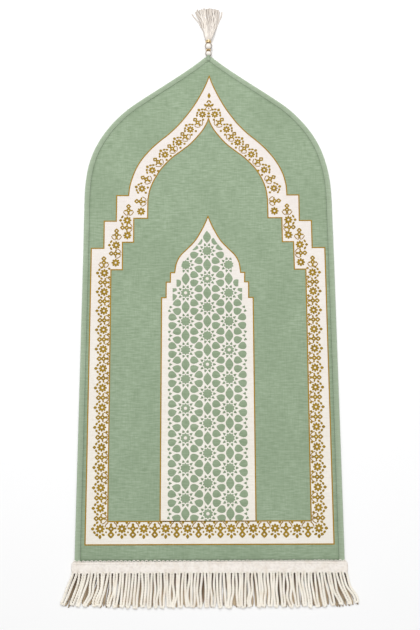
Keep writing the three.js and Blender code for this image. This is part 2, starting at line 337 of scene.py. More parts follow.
def tube(maker, path, radius, sides=6, flatten=1.0, shade=0.0):
    """A tube along path. radius may be one number or one per point; flatten squashes it in Z."""
    path = np.asarray(path, float)
    count = len(path)
    radius = np.broadcast_to(np.asarray(radius, float), count)[:, None, None]
    ahead = unit(np.gradient(path, axis=0))
    across = np.cross(ahead, (0.0, 0.0, 1.0))
    across[np.linalg.norm(across, axis=1) < 1e-3] = (1, 0, 0)
    across = unit(across)
    lift = np.cross(across, ahead)
    cos, sin = (part[None, :, None] for part in circle(sides))
    rings = path[:, None] + radius * cos * across[:, None] + radius * flatten * sin * lift[:, None]
    shade = np.repeat(np.broadcast_to(np.asarray(shade, float), count), sides)
    maker.add(rings.reshape(-1, 3), closed_faces(count, sides), shade)


LEAF_SIDES, LEAF_LIFT, LEAF_CROWN, LEAF_DROP = 12, 0.35, 0.3, 0.5
RING_SIDES, RING_CROWN = 16, 0.2


def leaf_outline(centre, angle, length, width, power, skew, sides):
    """A petal or diamond: power 1 is an oval and 2 a diamond; skew widens its far end."""
    cos, sin = circle(sides)
    along = length / 2 * np.sign(cos) * np.abs(cos) ** power
    across = width / 2 * np.sign(sin) * np.abs(sin) ** power * (1 + skew * cos)
    c, s = cos_sin(angle)
    return np.column_stack([centre[0] + along * c - across * s, centre[1] + along * s + across * c])


def leaf(maker, centre, angle, length, width, power, skew=0.0, lift=LEAF_LIFT):
    """A leaf, petal or diamond with a low peak."""
    rim = leaf_outline(centre, angle, length, width, power, skew, LEAF_SIDES)
    points = np.vstack([rim, rim.mean(0)])
    lifts = np.append(np.full(LEAF_SIDES, lift), lift + LEAF_CROWN)
    faces = [(i, (i + 1) % LEAF_SIDES, LEAF_SIDES) for i in range(LEAF_SIDES)]
    on_cloth(maker, points, faces, lifts, LEAF_DROP)


def ring_leaf(maker, centre, angle, length, width, hole, power):
    """A leaf or diamond with an open middle; hole is its share of the size."""
    outer = leaf_outline(centre, angle, length, width, power, 0, RING_SIDES)
    middle = outer.mean(0)
    rings = [middle + (outer - middle) * share for share in (1, (1 + hole) / 2, hole)]
    lifts = np.repeat([LEAF_LIFT, LEAF_LIFT + RING_CROWN, LEAF_LIFT], RING_SIDES)
    on_cloth(maker, np.vstack(rings), quads(len(rings), RING_SIDES), lifts, LEAF_DROP)


# ---------- Materials ----------


class Nodes:
    """Adds and links shader nodes with little writing."""

    def __init__(self, name):
        self.material = bpy.data.materials.new(name)
        self.material.use_nodes = True
        self.tree = self.material.node_tree
        self.shader = self.tree.nodes["Principled BSDF"]
        self.place = self.add("ShaderNodeTexCoord").outputs["Object"]

    def add(self, kind, inputs=None, **settings):
        node = self.tree.nodes.new(kind)
        for key, value in settings.items():
            setattr(node, key, value)
        for key, value in (inputs or {}).items():
            self.put(node.inputs[key], value)
        return node

    def put(self, socket, value):
        if isinstance(value, bpy.types.NodeSocket):
            self.tree.links.new(value, socket)
        else:
            socket.default_value = value

    def noise(self, scale, detail=3.0):
        """Noise stretched by scale = (x, y, z) features per metre."""
        mapping = self.add("ShaderNodeMapping", {"Vector": self.place, "Scale": scale})
        inputs = {"Vector": mapping.outputs[0], "Scale": 1.0, "Detail": detail, "Roughness": 0.55}
        return self.add("ShaderNodeTexNoise", inputs).outputs["Fac"]

    def wave(self, scale, axis):
        """Slightly uneven ridges across one axis, scale of them per metre."""
        inputs = {"Vector": self.place, "Scale": scale * math.pi / 10, "Distortion": 0.6}
        inputs |= {"Detail": 1.0, "Detail Scale": 3.0}
        return self.add("ShaderNodeTexWave", inputs, bands_direction=axis).outputs["Fac"]

    def span(self, value, low, high, to_low=0.0, to_high=1.0):
        """The value spread from low..high to to_low..to_high, and held at its ends."""
        inputs = {"Value": value, "From Min": low, "From Max": high, "To Min": to_low, "To Max": to_high}
        return self.add("ShaderNodeMapRange", inputs).outputs["Result"]

    def math(self, operation, a, b):
        return self.add("ShaderNodeMath", {0: a, 1: b}, operation=operation).outputs[0]

    def mix(self, factor, a, b):
        node = self.add("ShaderNodeMix", {"Factor": factor, "A": a, "B": b}, data_type="RGBA")
        return node.outputs["Result"]

    def shade(self):
        """The shade that MeshMaker gave each point, painted into the colour."""
        return self.add("ShaderNodeAttribute", attribute_name="shade").outputs["Fac"]

    def bump(self, height, distance_mm):
        node = self.add("ShaderNodeBump", {"Height": height, "Distance": distance_mm * MM})
        self.put(self.shader.inputs["Normal"], node.outputs["Normal"])

    def finish(self, colour, roughness, **sockets):
        self.put(self.shader.inputs["Base Color"], colour)
        self.put(self.shader.inputs["Roughness"], roughness)
        for key, value in sockets.items():
            self.put(self.shader.inputs[key.replace("_", " ")], value)
        return self.material


def rgb(red, green, blue):
    """A linear colour from the sRGB values, 0 to 255, that it should show as."""

    def linear(v):
        v /= 255
        return v / 12.92 if v <= 0.04045 else ((v + 0.055) / 1.055) ** 2.4

    return (linear(red), linear(green), linear(blue), 1.0)


def woven(name, main, light, dark, shade, bump_mm=0.12):
    """A slubbed plain weave: long streaks along X, finer ones along Y, threads in its bump."""
    n = Nodes(name)
    weft = n.noise((70, 620, 1), detail=4)
    thick_weft = n.noise((44, 260, 1))
    warp = n.noise((330, 34, 1))
    cloud = n.noise((9, 7, 1), detail=2)
    tone = n.math("ADD", n.math("MULTIPLY", weft, 0.3), n.math("MULTIPLY", thick_weft, 0.48))
    tone = n.math("ADD", tone, n.math("MULTIPLY", warp, 0.22))
    colour = n.mix(n.span(tone, 0.5, 0.62, 0, 0.64), rgb(*main), rgb(*light))
    colour = n.mix(n.span(tone, 0.5, 0.38, 0, 0.64), colour, rgb(*dark))
    colour = n.mix(n.span(cloud, 0.4, 0.62, 0, 0.25), colour, rgb(*dark))
    # Painted shade: the colour mixes towards its shade colour by each point's shade.
    colour = n.mix(n.shade(), colour, rgb(*shade))
    threads = n.math("MAXIMUM", n.wave(720, "X"), n.wave(640, "Y"))
    n.bump(n.math("ADD", threads, n.math("MULTIPLY", weft, 1.2)), bump_mm)
    roughness = n.span(weft, 0.3, 0.7, 0.82, 0.96)
    return n.finish(colour, roughness, Sheen_Weight=0.15, Sheen_Roughness=0.5, Specular_IOR_Level=0.2)


def thread(name, main, light, dark, shade=None, sheen=0.1, scale=900, specular=0.2):
    """Yarn or embroidery thread: fine fibres over a slightly uneven colour."""
    n = Nodes(name)
    fibres = n.noise((scale, scale * 0.45, scale))
    uneven = n.noise((70, 55, 70), detail=2)
    colour = n.mix(n.span(fibres, 0.35, 0.7, 0, 0.55), rgb(*main), rgb(*light))
    colour = n.mix(n.span(uneven, 0.45, 0.72, 0, 0.5), colour, rgb(*dark))
    # Painted shade: the colour mixes towards its shade colour by each point's shade.
    if shade is not None:
        colour = n.mix(n.shade(), colour, rgb(*shade))
    n.bump(fibres, 0.25)
    roughness = n.span(fibres, 0.3, 0.7, 0.75, 0.95)
    return n.finish(
        colour, roughness, Sheen_Weight=sheen, Sheen_Roughness=0.4, Specular_IOR_Level=specular
    )


# Each: its name, its main, light and dark colour, and its colour under painted shade, as they should show.
SAGE = woven("sage_weave", (147, 165, 138), (168, 185, 160), (124, 143, 115), (62, 82, 54))
SAGE_TAPE = woven("sage_tape", (166, 182, 157), (182, 197, 174), (150, 166, 140), (84, 104, 76))
CREAM = woven("cream_weave", (236, 231, 221), (243, 239, 231), (226, 219, 207), (206, 189, 207), 0.1)
CELL = woven("cell_weave", (144, 161, 133), (158, 175, 148), (126, 145, 116), (84, 108, 74), 0.1)
GOLD_LINE = thread("gold_line_thread", (157, 120, 24), (175, 138, 44), (139, 103, 15), specular=0.3)
GOLD_FLOWER = thread("gold_flower_thread", (149, 117, 17), (176, 146, 52), (114, 86, 3), specular=0.3)
GOLD_SCROLL = thread("gold_scroll_thread", (152, 118, 46), (172, 140, 72), (132, 98, 30))
COTTON = thread("cotton_yarn", (248, 241, 232), (254, 250, 245), (231, 220, 205), (92, 58, 24), scale=700)
FRINGE_COTTON = thread(
    "fringe_cotton_yarn", (255, 249, 237), (255, 254, 247), (240, 228, 209), (88, 52, 16), scale=700
)
# The under yarns, painted from dark brown shade at their roots to tan.
UNDER_COTTON = thread(
    "under_cotton_yarn", (218, 196, 164), (230, 212, 184), (198, 172, 136), (52, 26, 4), sheen=0.0
)
PALE_DOT = thread("pale_dot", (232, 224, 214), (240, 234, 226), (220, 212, 200), sheen=0.3, scale=500)


def pearl():
    """A creamy pearl, with painted shade that browns it where it turns away from the view."""
    n = Nodes("pearl")
    facing = n.add("ShaderNodeLayerWeight", {"Blend": 0.35}).outputs["Facing"]
    cloudy = n.noise((160, 160, 160), detail=2)
    # Painted shade: browner towards the rim, where the surface turns away from the view.
    colour = n.mix(n.span(facing, 0.1, 0.46), rgb(243, 237, 230), rgb(104, 82, 50))
    colour = n.mix(n.span(cloudy, 0.4, 0.7, 0, 0.2), colour, rgb(244, 236, 228))
    roughness = n.span(cloudy, 0.3, 0.7, 0.16, 0.24)
    return n.finish(colour, roughness, Coat_Weight=0.15, Coat_Roughness=0.08, Specular_IOR_Level=0.3)


def gold_metal():
    """Worn gilt metal."""
    n = Nodes("gold_metal")
    worn = n.noise((900, 900, 900))
    colour = n.mix(n.span(worn, 0.4, 0.7), rgb(238, 217, 174), rgb(178, 146, 98))
    n.bump(worn, 0.08)
    return n.finish(colour, n.span(worn, 0.3, 0.7, 0.22, 0.42), Metallic=1.0)


PEARL = pearl()
GOLD_METAL = gold_metal()

# ---------- The bound edge ----------


def edge_stations():
    """Points up the right-hand edge, and the way in across the binding at each."""

    def pull(point, slope, length, way):
        """The handle of a curve's end: up the slope from it for way 1, and down it for -1."""
        c, s = cos_sin(slope)
        return point[0] - way * length * c, point[1] + way * length * s

    side = resampled([(SIDE_FOOT_X, CLOTH_FOOT), (SPRING_X, SPRING_Y)], 10)
    shoulder = bezier(
        (SPRING_X, SPRING_Y),
        (SPRING_X, SPRING_Y + SHOULDER_LOWER_PULL),
        pull(SHOULDER_END, SHOULDER_SLOPE, SHOULDER_UPPER_PULL, -1),
        SHOULDER_END,
        40,
    )
    flank = bezier(
        SHOULDER_END,
        pull(SHOULDER_END, SHOULDER_SLOPE, FLANK_LOWER_PULL, 1),
        pull(FLANK_END, FLANK_SLOPE, FLANK_UPPER_PULL, -1),
        FLANK_END,
        32,
    )
    points = np.vstack([side, shoulder[1:], flank[1:]])
    along = unit(np.gradient(points, axis=0))
    inward = np.column_stack([-along[:, 1], along[:, 0]])
    inward[0] = (-1, 0)
    corner, into = points[-1], inward[-1]
    inner = corner + BINDING_WIDTH * into
    rise = (inner[0] - GAP / 2) * math.tan(math.radians(FLANK_SLOPE))
    mitre = (TIP_Y - inner[1] - rise) / BINDING_WIDTH
    return np.vstack([points, (GAP / 2, TIP_Y)]), np.vstack([inward, (0, -mitre)])


EDGE, INWARD = edge_stations()


def rug_outline(inset):
    """The rug's outline moved in by inset, but for its foot."""
    right = EDGE + INWARD * inset
    right[0, 1] = CLOTH_FOOT
    return mirrored(right[::-1])


# ---------- The cloth ----------

CLOTH_INSET = BINDING_WIDTH + GAP
CLOTH_SPACING, ROW_SPACING = 8, 6
# Finer rows of points: how far in from the rim, and at what Y beside the foot.
RIM_ROWS, RIM_ROWS_WIDTH = (0.8, 1.8, 3.2, 5.5), 6
FOOT_ROWS_Y, FOOT_ROWS_HALF = (-0.8, 0.2, 1.8, 3.6), 285
EDGE_ROLL = 2.0  # how far in from its edge the cloth turns down
EDGE_DROP = 0.4
RIM_CLEAR = 0.4  # the least distance of an inner point from the rim
# How far painted shade reaches: beside the binding's seam, as the heading's shadow on the foot, and wider
# and fainter up from the foot.
SEAM_SHADE_WIDTH, FOOT_SHADE_WIDTH, FOOT_GLOOM_WIDTH = 6.0, 5.5, 34


def make_cloth():
    """The padded cloth, turned down at its rim, with shade painted beside its seam and at its foot."""
    maker = MeshMaker()
    rim = resampled(rug_outline(CLOTH_INSET), CLOTH_SPACING, closed=True)
    rows = [resampled(rug_outline(CLOTH_INSET + more), ROW_SPACING, closed=True) for more in RIM_ROWS]
    rows += [
        [(x, y) for x in np.arange(-FOOT_ROWS_HALF, FOOT_ROWS_HALF + 1, ROW_SPACING)] for y in FOOT_ROWS_Y
    ]
    middle = grid_points([rim], CLOTH_SPACING)
    middle = middle[distance_to([rim], middle) > RIM_ROWS_WIDTH]
    extra = np.vstack([*rows, middle])
    extra = extra[inside([rim], extra)]
    extra = extra[distance_to([rim], extra) > RIM_CLEAR]
    points, faces = triangulated([rim], extra, lambda p: inside([rim], p))
    from_edge = distance_to([rim], points)
    dip = EDGE_DROP * np.clip(1 - from_edge / EDGE_ROLL, 0, 1) ** 2
    # Painted shade beside the seam, the heading's painted shadow along the foot, and a fainter painted shade
    # up from the foot.
    shade = 0.2 * np.clip(1 - from_edge / SEAM_SHADE_WIDTH, 0, 1)
    shade += 0.5 * np.clip(1 - (points[:, 1] - CLOTH_FOOT) / FOOT_SHADE_WIDTH, 0, 1) ** 0.8
    shade += 0.12 * np.clip(1 - points[:, 1] / FOOT_GLOOM_WIDTH, 0, 1) ** 1.5
    slab(maker, points, cloth_height(points) - dip, faces, shade)
    return maker.build("rug_cloth", SAGE, smooth_angle=40)


rug_cloth = make_cloth()

# ---------- The bindings ----------

# The folded tape's section: distance in from the rug's edge, height, and how much shade is painted there.
TAPE_SECTION = [
    (12.3, 0.0, 0.5), (7.0, 0.0, 0.5), (2.6, 0.0, 0.5), (1.2, 0.25, 0.3), (0.35, 1.0, 0.1), (0, 2.0, 0),
    (0.12, 3.0, 0), (0.6, 3.9, 0), (1.4, 4.6, 0), (2.7, 5.05, 0.04), (4.4, 5.25, 0.12), (6.3, 5.2, 0.18),
    (8.0, 5.1, 0.2), (9.2, 4.95, 0.22), (9.9, 4.8, 0.24), (10.4, 4.7, 0.26), (10.9, 4.7, 0.26),
    (11.5, 4.65, 0.26), (12.1, 4.5, 0.28), (12.5, 4.0, 0.34), (12.5, 1.6, 0.5),
]  # fmt: skip


def make_binding(side, name):
    """One folded tape, on the left for side -1 and on the right for 1."""
    maker = MeshMaker()
    section = np.array(TAPE_SECTION)
    steps = lengths(EDGE)
    pucker = 0.10 * np.sin(steps / 7.3) + 0.08 * np.sin(steps / 3.1 + 1)
    rings = []
    for (inset, z, _), weight in zip(section, np.clip(section[:, 1] - 3, 0, 1)):
        flat = EDGE + INWARD * inset
        rings.append(np.column_stack([side * flat[:, 0], flat[:, 1], z + pucker * weight]))
    count, around = len(EDGE), len(section)
    strips = quads(around + 1, count, closed=False, flip=side < 0)
    faces = [tuple(i % (count * around) for i in face) for face in strips]
    ends = [[r * count for r in range(around)], [r * count + count - 1 for r in range(around)]]
    for end, flip in zip(ends, (side < 0, side > 0)):
        faces.append(end[::-1] if flip else end)
    # Painted shade across the tape: none on its rolled outer edge, rising to the groove, most underneath.
    maker.add(np.vstack(rings), faces, np.repeat(section[:, 2], count))
    return maker.build(name, SAGE_TAPE, smooth_angle=50)


binding_left = make_binding(-1, "binding_left_tape")
binding_right = make_binding(1, "binding_right_tape")

STITCH_INSET, STITCH_PITCH, STITCH_LENGTH, STITCH_RADIUS = 10.4, 5.2, 3.6, 0.32
STITCH_Z = (4.3, 4.77, 4.77, 4.3)  # it comes up, runs along the tape and goes down


def make_stitches():
    """A running stitch in the groove beside each binding's inner edge."""
    maker = MeshMaker()
    line = resampled(EDGE[:-1] + INWARD[:-1] * STITCH_INSET, 1.0)
    length = lengths(line)
    for start in np.arange(3, length[-1] - 8, STITCH_PITCH):
        along = start + np.linspace(0, STITCH_LENGTH, len(STITCH_Z))
        x, y = np.interp(along, length, line[:, 0]), np.interp(along, length, line[:, 1])
        for side in (-1, 1):
            tube(maker, np.column_stack([side * x, y, STITCH_Z]), STITCH_RADIUS, sides=5)
    return maker.build("binding_stitches", SAGE_TAPE)


binding_stitches = make_stitches()

# ---------- The flowered border ----------

# Right halves, from the apex down: the arch is a smooth curve, then square steps down to the sides.
OUTER_ARCH = [
    (0, 1181.5), (8, 1159), (18, 1137), (30.5, 1113), (42.5, 1093), (56.5, 1073), (72, 1053), (94.3, 1029.5),
    (115.6, 1011), (138, 989.5), (160.5, 961.5), (177, 931), (187, 898), (190, 869),
]  # fmt: skip
OUTER_STEPS = [(218.5, 869), (218.5, 804), (247.3, 804), (247.3, 735.8), (277.2, 735.8), (279, 35.2)]
INNER_ARCH = [
    (0, 1069), (5, 1055), (17, 1034), (42, 1004), (65, 984.5), (88, 966), (113, 938.5), (129.6, 910.5),
    (139.2, 885), (143.5, 859),
]  # fmt: skip
INNER_STEPS = [
    (143.9, 811.4), (177, 811.4), (177, 751), (203.5, 751), (203.5, 682.4), (230.6, 682.4), (229.2, 87.2),
]  # fmt: skip
LINE_WIDTH, LINE_LIFT, LINE_CROWN = 2.9, 0.3, 0.35

# How far the printed border strays to the right of the cloth's middle, up its length.
STRAY_Y, STRAY_X = (650, 720, 860, 920, 1190), (0, -1.0, -0.8, 1.5, 1.6)


def strayed(points):
    """Points of the border, moved by its straying."""
    points = np.array(points, float)
    points[..., 0] += np.interp(points[..., 1], STRAY_Y, STRAY_X)
    return points


outer_loop = strayed(mirrored([*through(OUTER_ARCH), *OUTER_STEPS]))
inner_loop = strayed(mirrored([*through(INNER_ARCH), *INNER_STEPS]))

# ---------- The lattice panel ----------

PANEL_X = -3.4  # the panel's middle
PANEL_ARCH = [
    (0, 815.5), (6.5, 799), (14.4, 782), (30, 754.8), (48, 734.6), (64.5, 717.3), (74, 698.6), (78, 674.5),
]  # fmt: skip
PANEL_STEPS = [(87.6, 674.5), (87.6, 651), (97.1, 651), (97.1, 612.8), (107.6, 612.8), (107.9, 87.2)]
PANEL_STRAY_Y, PANEL_STRAY_X = (640, 676, 815), (0.3, 1.2, 3.0)
FIELD_MARGIN = 15.6  # and less up the arch
FIELD_MARGIN_Y, FIELD_MARGIN_SHARE = (640, 690, 740), (1.0, 0.86, 0.68)
FIELD_FOOT = 87.2

panel_loop = mirrored([*through(PANEL_ARCH), *PANEL_STEPS]) + (PANEL_X, 0)
panel_loop[:, 0] += np.interp(panel_loop[:, 1], PANEL_STRAY_Y, PANEL_STRAY_X)

margin = FIELD_MARGIN * np.interp(panel_loop[:, 1], FIELD_MARGIN_Y, FIELD_MARGIN_SHARE)
field_loop = panel_loop - mitres(panel_loop, True, 0.3) * margin[:, None]
field_loop[field_loop[:, 1] < FIELD_FOOT + 2 * FIELD_MARGIN, 1] = FIELD_FOOT

GROUND_SPACING, GROUND_LIFT, GROUND_DROP = 9, 0.15, 0.4
CREAM_SHADE_FROM_Y, CREAM_SHADE_TO_Y, CREAM_SHADE_MOST = 200, 950, 0.2  # painted shade on the cream, a little cool in tint, growing up the rug


def make_ground(name, loops):
    """A flat cream piece inside the loops, with painted shade that grows up the rug."""
    maker = MeshMaker()
    loops = [resampled(loop, GROUND_SPACING, closed=True) for loop in loops]
    points, faces = triangulated(loops, grid_points(loops, GROUND_SPACING), lambda p: inside(loops, p))
    # Painted shade: the cream is darkened a little more the further up the rug, against the stronger light
    # there.
    cream_shade = CREAM_SHADE_MOST * np.clip((points[:, 1] - CREAM_SHADE_FROM_Y) / (CREAM_SHADE_TO_Y - CREAM_SHADE_FROM_Y), 0, 1)
    on_cloth(maker, points, faces, GROUND_LIFT, GROUND_DROP, cream_shade)
    return maker.build(name, CREAM, smooth_angle=40)


def make_lines():
    """The gold lines on both sides of the border and round the panel."""
    maker = MeshMaker()
    for loop in (outer_loop, inner_loop, panel_loop):
        ribbon(maker, loop, LINE_WIDTH, LINE_LIFT, LINE_CROWN, closed=True)
    return maker.build("gold_lines", GOLD_LINE, smooth_angle=60)


border_ground = make_ground("border_ground", [outer_loop, inner_loop])
panel_ground = make_ground("panel_ground", [panel_loop])
gold_lines = make_lines()

# Ten-pointed stars stand in columns, every other column half a pitch higher. Ten chips ring each
# star, a petal points at it from each diagonal neighbour, and a lens lies between it and the next
# star of its column.
PITCH_X, PITCH_Y = 50.8, 69.4
STAR_FOOT_Y = 103.9  # the lowest star of the middle column
STAR_TIP, STAR_NOTCH = 12.3, 9.4
CHIP_START, CHIP_LENGTH, CHIP_WIDTH = 12.9, 7.5, 6.2
PETAL_START, PETAL_LENGTH, PETAL_WIDTH, PETAL_ANGLE = 21.1, 20.6, 17.8, 18.0
LENS_LENGTH, LENS_WIDTH = 31.2, 18.8
CELLS_INSIDE = {"star": 0.2, "petal": 0.2, "lens": 0.2, "chip": 0.7}  # the least share that shows
CELL_RIM_LIFT, CELL_LIFT, CUT_CELL_LIFT, CELL_DROP = 0.28, 0.5, 0.45, 0.45
CELL_TOP_SHARE = 0.86
DOT_RADIUS, DOT_SIDES, DOT_TOP, DOT_DROP = 4.1, 20, 1.62, 0.4
DOT_RINGS = [(1.0, 0.5), (0.93, 0.85), (0.75, 1.2), (0.45, 1.5), (0.15, 1.6)]  # share, and lift
# The stars with a pale dot: column from the middle, and row.
DOTTED_STARS = [(0, 0), (0, 5), (0, 8), (-1, 2), (-1, 3), (-1, 7), (1, 5)]

# Half outlines, from the tip: how far along the length, and how far aside as a share of the width.
PETAL_HALF = [(0, 0), (0.2, 0.27), (0.42, 0.44), (0.64, 0.5), (0.84, 0.43), (0.96, 0.24), (1, 0)]
LENS_HALF = [(0, 0), (0.17, 0.25), (0.34, 0.43), (0.5, 0.5), (0.66, 0.43), (0.83, 0.25), (1, 0)]
CHIP_HALF = [(0, 0), (0.04, 0.34), (0.2, 0.5), (0.5, 0.36), (0.86, 0.12), (1, 0)]


def polar(radius, degrees):
    return radius * np.array(cos_sin(degrees))


def area_of(polygon):
    x, y = polygon[:, 0], polygon[:, 1]
    return 0.5 * (x * np.roll(y, -1) - np.roll(x, -1) * y).sum()


def cell_outline(half, start, length, width, degrees):
    """A counter-clockwise cell from its half outline, with its tip at start, going away at an angle."""
    side = through(half, 4) * (length, width)
    both_sides = np.vstack([side * (1, -1), side[-2:0:-1]])
    c, s = cos_sin(degrees)
    x, y = both_sides[:, 0], both_sides[:, 1]
    return np.array(start) + np.column_stack([x * c - y * s, x * s + y * c])


def tile_cells():
    """The cells that repeat with each star, round the origin, as (kind, polygon)."""
    star = [polar(STAR_TIP if k % 2 else STAR_NOTCH, 18 * k) for k in range(20)]
    cells = [("star", np.array(star))]
    for angle in range(0, 360, 36):
        chip = cell_outline(CHIP_HALF, polar(CHIP_START, angle), CHIP_LENGTH, CHIP_WIDTH, angle)
        cells.append(("chip", chip))
    for angle in (PETAL_ANGLE, 180 - PETAL_ANGLE, 180 + PETAL_ANGLE, 360 - PETAL_ANGLE):
        petal = cell_outline(PETAL_HALF, polar(PETAL_START, angle), PETAL_LENGTH, PETAL_WIDTH, angle)
        cells.append(("petal", petal))
    foot = (PITCH_Y - LENS_LENGTH) / 2
    cells.append(("lens", cell_outline(LENS_HALF, (0, foot), LENS_LENGTH, LENS_WIDTH, 90)))
    return cells


def star_middle(column, row):
    return np.array((PANEL_X + column * PITCH_X, STAR_FOOT_Y + PITCH_Y * (row + column % 2 / 2)))


def cell_mesh(kind, polygon):
    """A cell's points, faces and lifts, cut by the field's edge, or None if too little of it shows."""
    field = field_loop[::-1]
    within = inside([field], polygon)
    if within.all():
        count, centre = len(polygon), polygon.mean(0)
        points = np.vstack([polygon, centre + (polygon - centre) * CELL_TOP_SHARE, centre])
        lifts = np.repeat([CELL_RIM_LIFT, CELL_LIFT], [count, count + 1])
        peak = [(count + i, count + (i + 1) % count, 2 * count) for i in range(count)]
        return points, quads(2, count) + peak, lifts
    if within.any():
        points, faces = triangulated(
            [polygon, field], np.zeros((0, 2)), lambda p: inside([polygon], p) & inside([field], p)
        )
        area = sum(abs(area_of(points[list(face)])) for face in faces)
        if len(faces) and area >= CELLS_INSIDE[kind] * area_of(polygon):
            return points, faces, CUT_CELL_LIFT
    return None


def make_cells():
    """The cells of every star in the field, each with painted shade towards its foot, and the chips a darker
    green all over.
    """
    maker, pattern = MeshMaker(), tile_cells()
    for column in range(-2, 3):
        for row in range(-2, 12):
            for kind, shape in pattern:
                polygon = shape + star_middle(column, row)
                made = cell_mesh(kind, polygon)
                if made:
                    points, faces, lifts = made
                    foot, head = polygon[:, 1].min(), polygon[:, 1].max()
                    down = ((foot + head) / 2 - points[:, 1]) / (head - foot)
                    # Painted shade growing towards each cell's foot; the chips are a darker green all over.
                    shade = 0.14 * np.clip(down + 0.3, 0, 1) + (0.28 if kind == "chip" else 0)
                    on_cloth(maker, points, faces, lifts, CELL_DROP, shade)
    return maker.build("lattice_cells", CELL, smooth_angle=60)


def make_dots():
    """A low pale dome on some of the stars."""
    maker = MeshMaker()
    ring = np.column_stack(circle(DOT_SIDES)) * DOT_RADIUS
    shares, ring_lifts = zip(*DOT_RINGS)
    lifts = np.append(np.repeat(ring_lifts, DOT_SIDES), DOT_TOP)
    peak = len(DOT_RINGS) * DOT_SIDES
    last = peak - DOT_SIDES
    faces = quads(len(DOT_RINGS), DOT_SIDES)
    faces += [(last + i, last + (i + 1) % DOT_SIDES, peak) for i in range(DOT_SIDES)]
    for column, row in DOTTED_STARS:
        middle = star_middle(column, row)
        points = np.vstack([*(middle + ring * share for share in shares), middle])
        on_cloth(maker, points, faces, lifts, DOT_DROP)
    return maker.build("lattice_dots", PALE_DOT)


lattice = make_cells()
lattice_dots = make_dots()

# ---------- Flowers ----------

flowers, scrolls = MeshMaker(), MeshMaker()

ROSETTE_PETAL_OUT, ROSETTE_PETAL_LENGTH, ROSETTE_PETAL_WIDTH = 6.35, 8.2, 5.0

# Leaves in pairs beside a motif's axis: aside, outwards, turn, length, width and power of each pair.
# They lie on a rosette's outer side: in the bottom row, in the chain round it, and in the steps.
ROW_LEAVES = [
    (0, 17.9, 0, 10.2, 7.2, 1.35), (7.2, 13.2, 62, 8.0, 5.4, 1.1), (13.6, 7.6, 15, 5.0, 4.2, 1.2),
]  # fmt: skip
CHAIN_LEAVES = [
    (0, 16.6, 0, 8.6, 7.6, 1.4), (8.4, 12.4, 123, 7.2, 5.2, 1.0), (14.0, 6.8, 140, 7.2, 5.2, 1.1),
]  # fmt: skip
STEP_LEAVES = [(0, 16.4, 0, 7.6, 7.0, 1.4), (9.0, 12.2, 123, 8.6, 4.8, 1.0)]
# And the motif under the apex, outwards being up.
APEX_LEAVES = [
    (0, 29.0, 0, 16.0, 8.2, 1.7), (3.0, 13.6, -34, 9.4, 4.2, 1.0), (8.4, 4.0, 42, 9.4, 6.0, 1.2),
    (3.8, 3.0, -52, 7.0, 4.2, 1.1), (0, 5.6, 0, 7.4, 6.2, 1.3), (0, -18.0, 0, 7.4, 7.2, 1.2),
]  # fmt: skip


def turned(point, angle, centre, scale=1.0):
    """A motif's own point, whose outer side is down, turned so that its outer side faces angle."""
    c, s = cos_sin(angle + 90)
    x, y = point[0] * scale, point[1] * scale
    return (centre[0] + x * c - y * s, centre[1] + x * s + y * c)


def rosette(centre, scale):
    """Eight petals round a middle."""
    for angle in range(0, 360, 45):
        middle = np.array(centre) + polar(ROSETTE_PETAL_OUT * scale, angle)
        leaf(flowers, middle, angle, ROSETTE_PETAL_LENGTH * scale, ROSETTE_PETAL_WIDTH * scale, 0.95, 0.2)


def leaves(centre, outer, scale, plan):
    """The leaves of a plan; their sizes change less than their places with scale."""
    for aside, out, turn, length, width, power in plan:
        for side in (-1, 1) if aside else (1,):
            place = turned((side * aside, -out), outer, centre, scale)
            leaf(flowers, place, outer + side * turn, length * scale**0.3, width * scale**0.3, power)


def flower(centre, outer, scale=1.0, plan=CHAIN_LEAVES):
    rosette(centre, scale)
    leaves(centre, outer, scale, plan)


SCROLL_ARC = [(13.6, 3.6), (12.6, 7.4), (10.0, 11.2), (6.4, 14.2)]
CHAIN_CURL = [(6.4, 14.2), (3.8, 15.4), (1.6, 13.8), (2.4, 11.8), (4.4, 11.4)]
# How far out the open diamond lies, and its length and width, in the bottom row and elsewhere.
ROW_DIAMOND, CHAIN_DIAMOND = (13.4, 16.4, 15.6), (11.2, 14.4, 14.2)


def tulip(centre, outer, scale=1.0, shift=0.0, diamond=CHAIN_DIAMOND):
    """An open diamond, a ringed bloom with arms, and a pair of scrolls, which curl in the chain."""

    def place(aside, out):
        return turned((aside, shift - out), outer, centre, scale)

    diamond_out, *diamond_size = diamond
    ring_leaf(flowers, place(0, diamond_out), outer, *(size * scale for size in diamond_size), 0.31, 1.6)
    ring_leaf(flowers, place(0, -0.2), outer, 15.0 * scale, 14.6 * scale, 0.27, 1.6)
    leaf(flowers, place(0, diamond_out / 2), outer, 5 * scale, 6.4 * scale, 1.4)
    leaf(flowers, place(0, -8.8), outer, 8.0 * scale, 6.4 * scale, 1.2)
    for side in (-1, 1):
        leaf(flowers, place(side * 9.2, -1.2), outer + side * 100, 6.8 * scale, 4.8 * scale, 1.2)
        arc = [place(side * aside, -out) for aside, out in SCROLL_ARC]
        ribbon(scrolls, through(arc, 4), 2.6 * scale, 0.3, 0.2, spacing=3)
        if diamond is CHAIN_DIAMOND:
            curl = [place(side * aside, -out) for aside, out in CHAIN_CURL]
            ribbon(scrolls, through(curl, 4), 1.9 * scale, 0.3, 0.2, spacing=2)


def line_bud(centre, outer):
    """A small bud growing outwards from the inner gold line."""
    leaf(flowers, centre, outer, 6.4, 6.2, 1.4, lift=0.3)


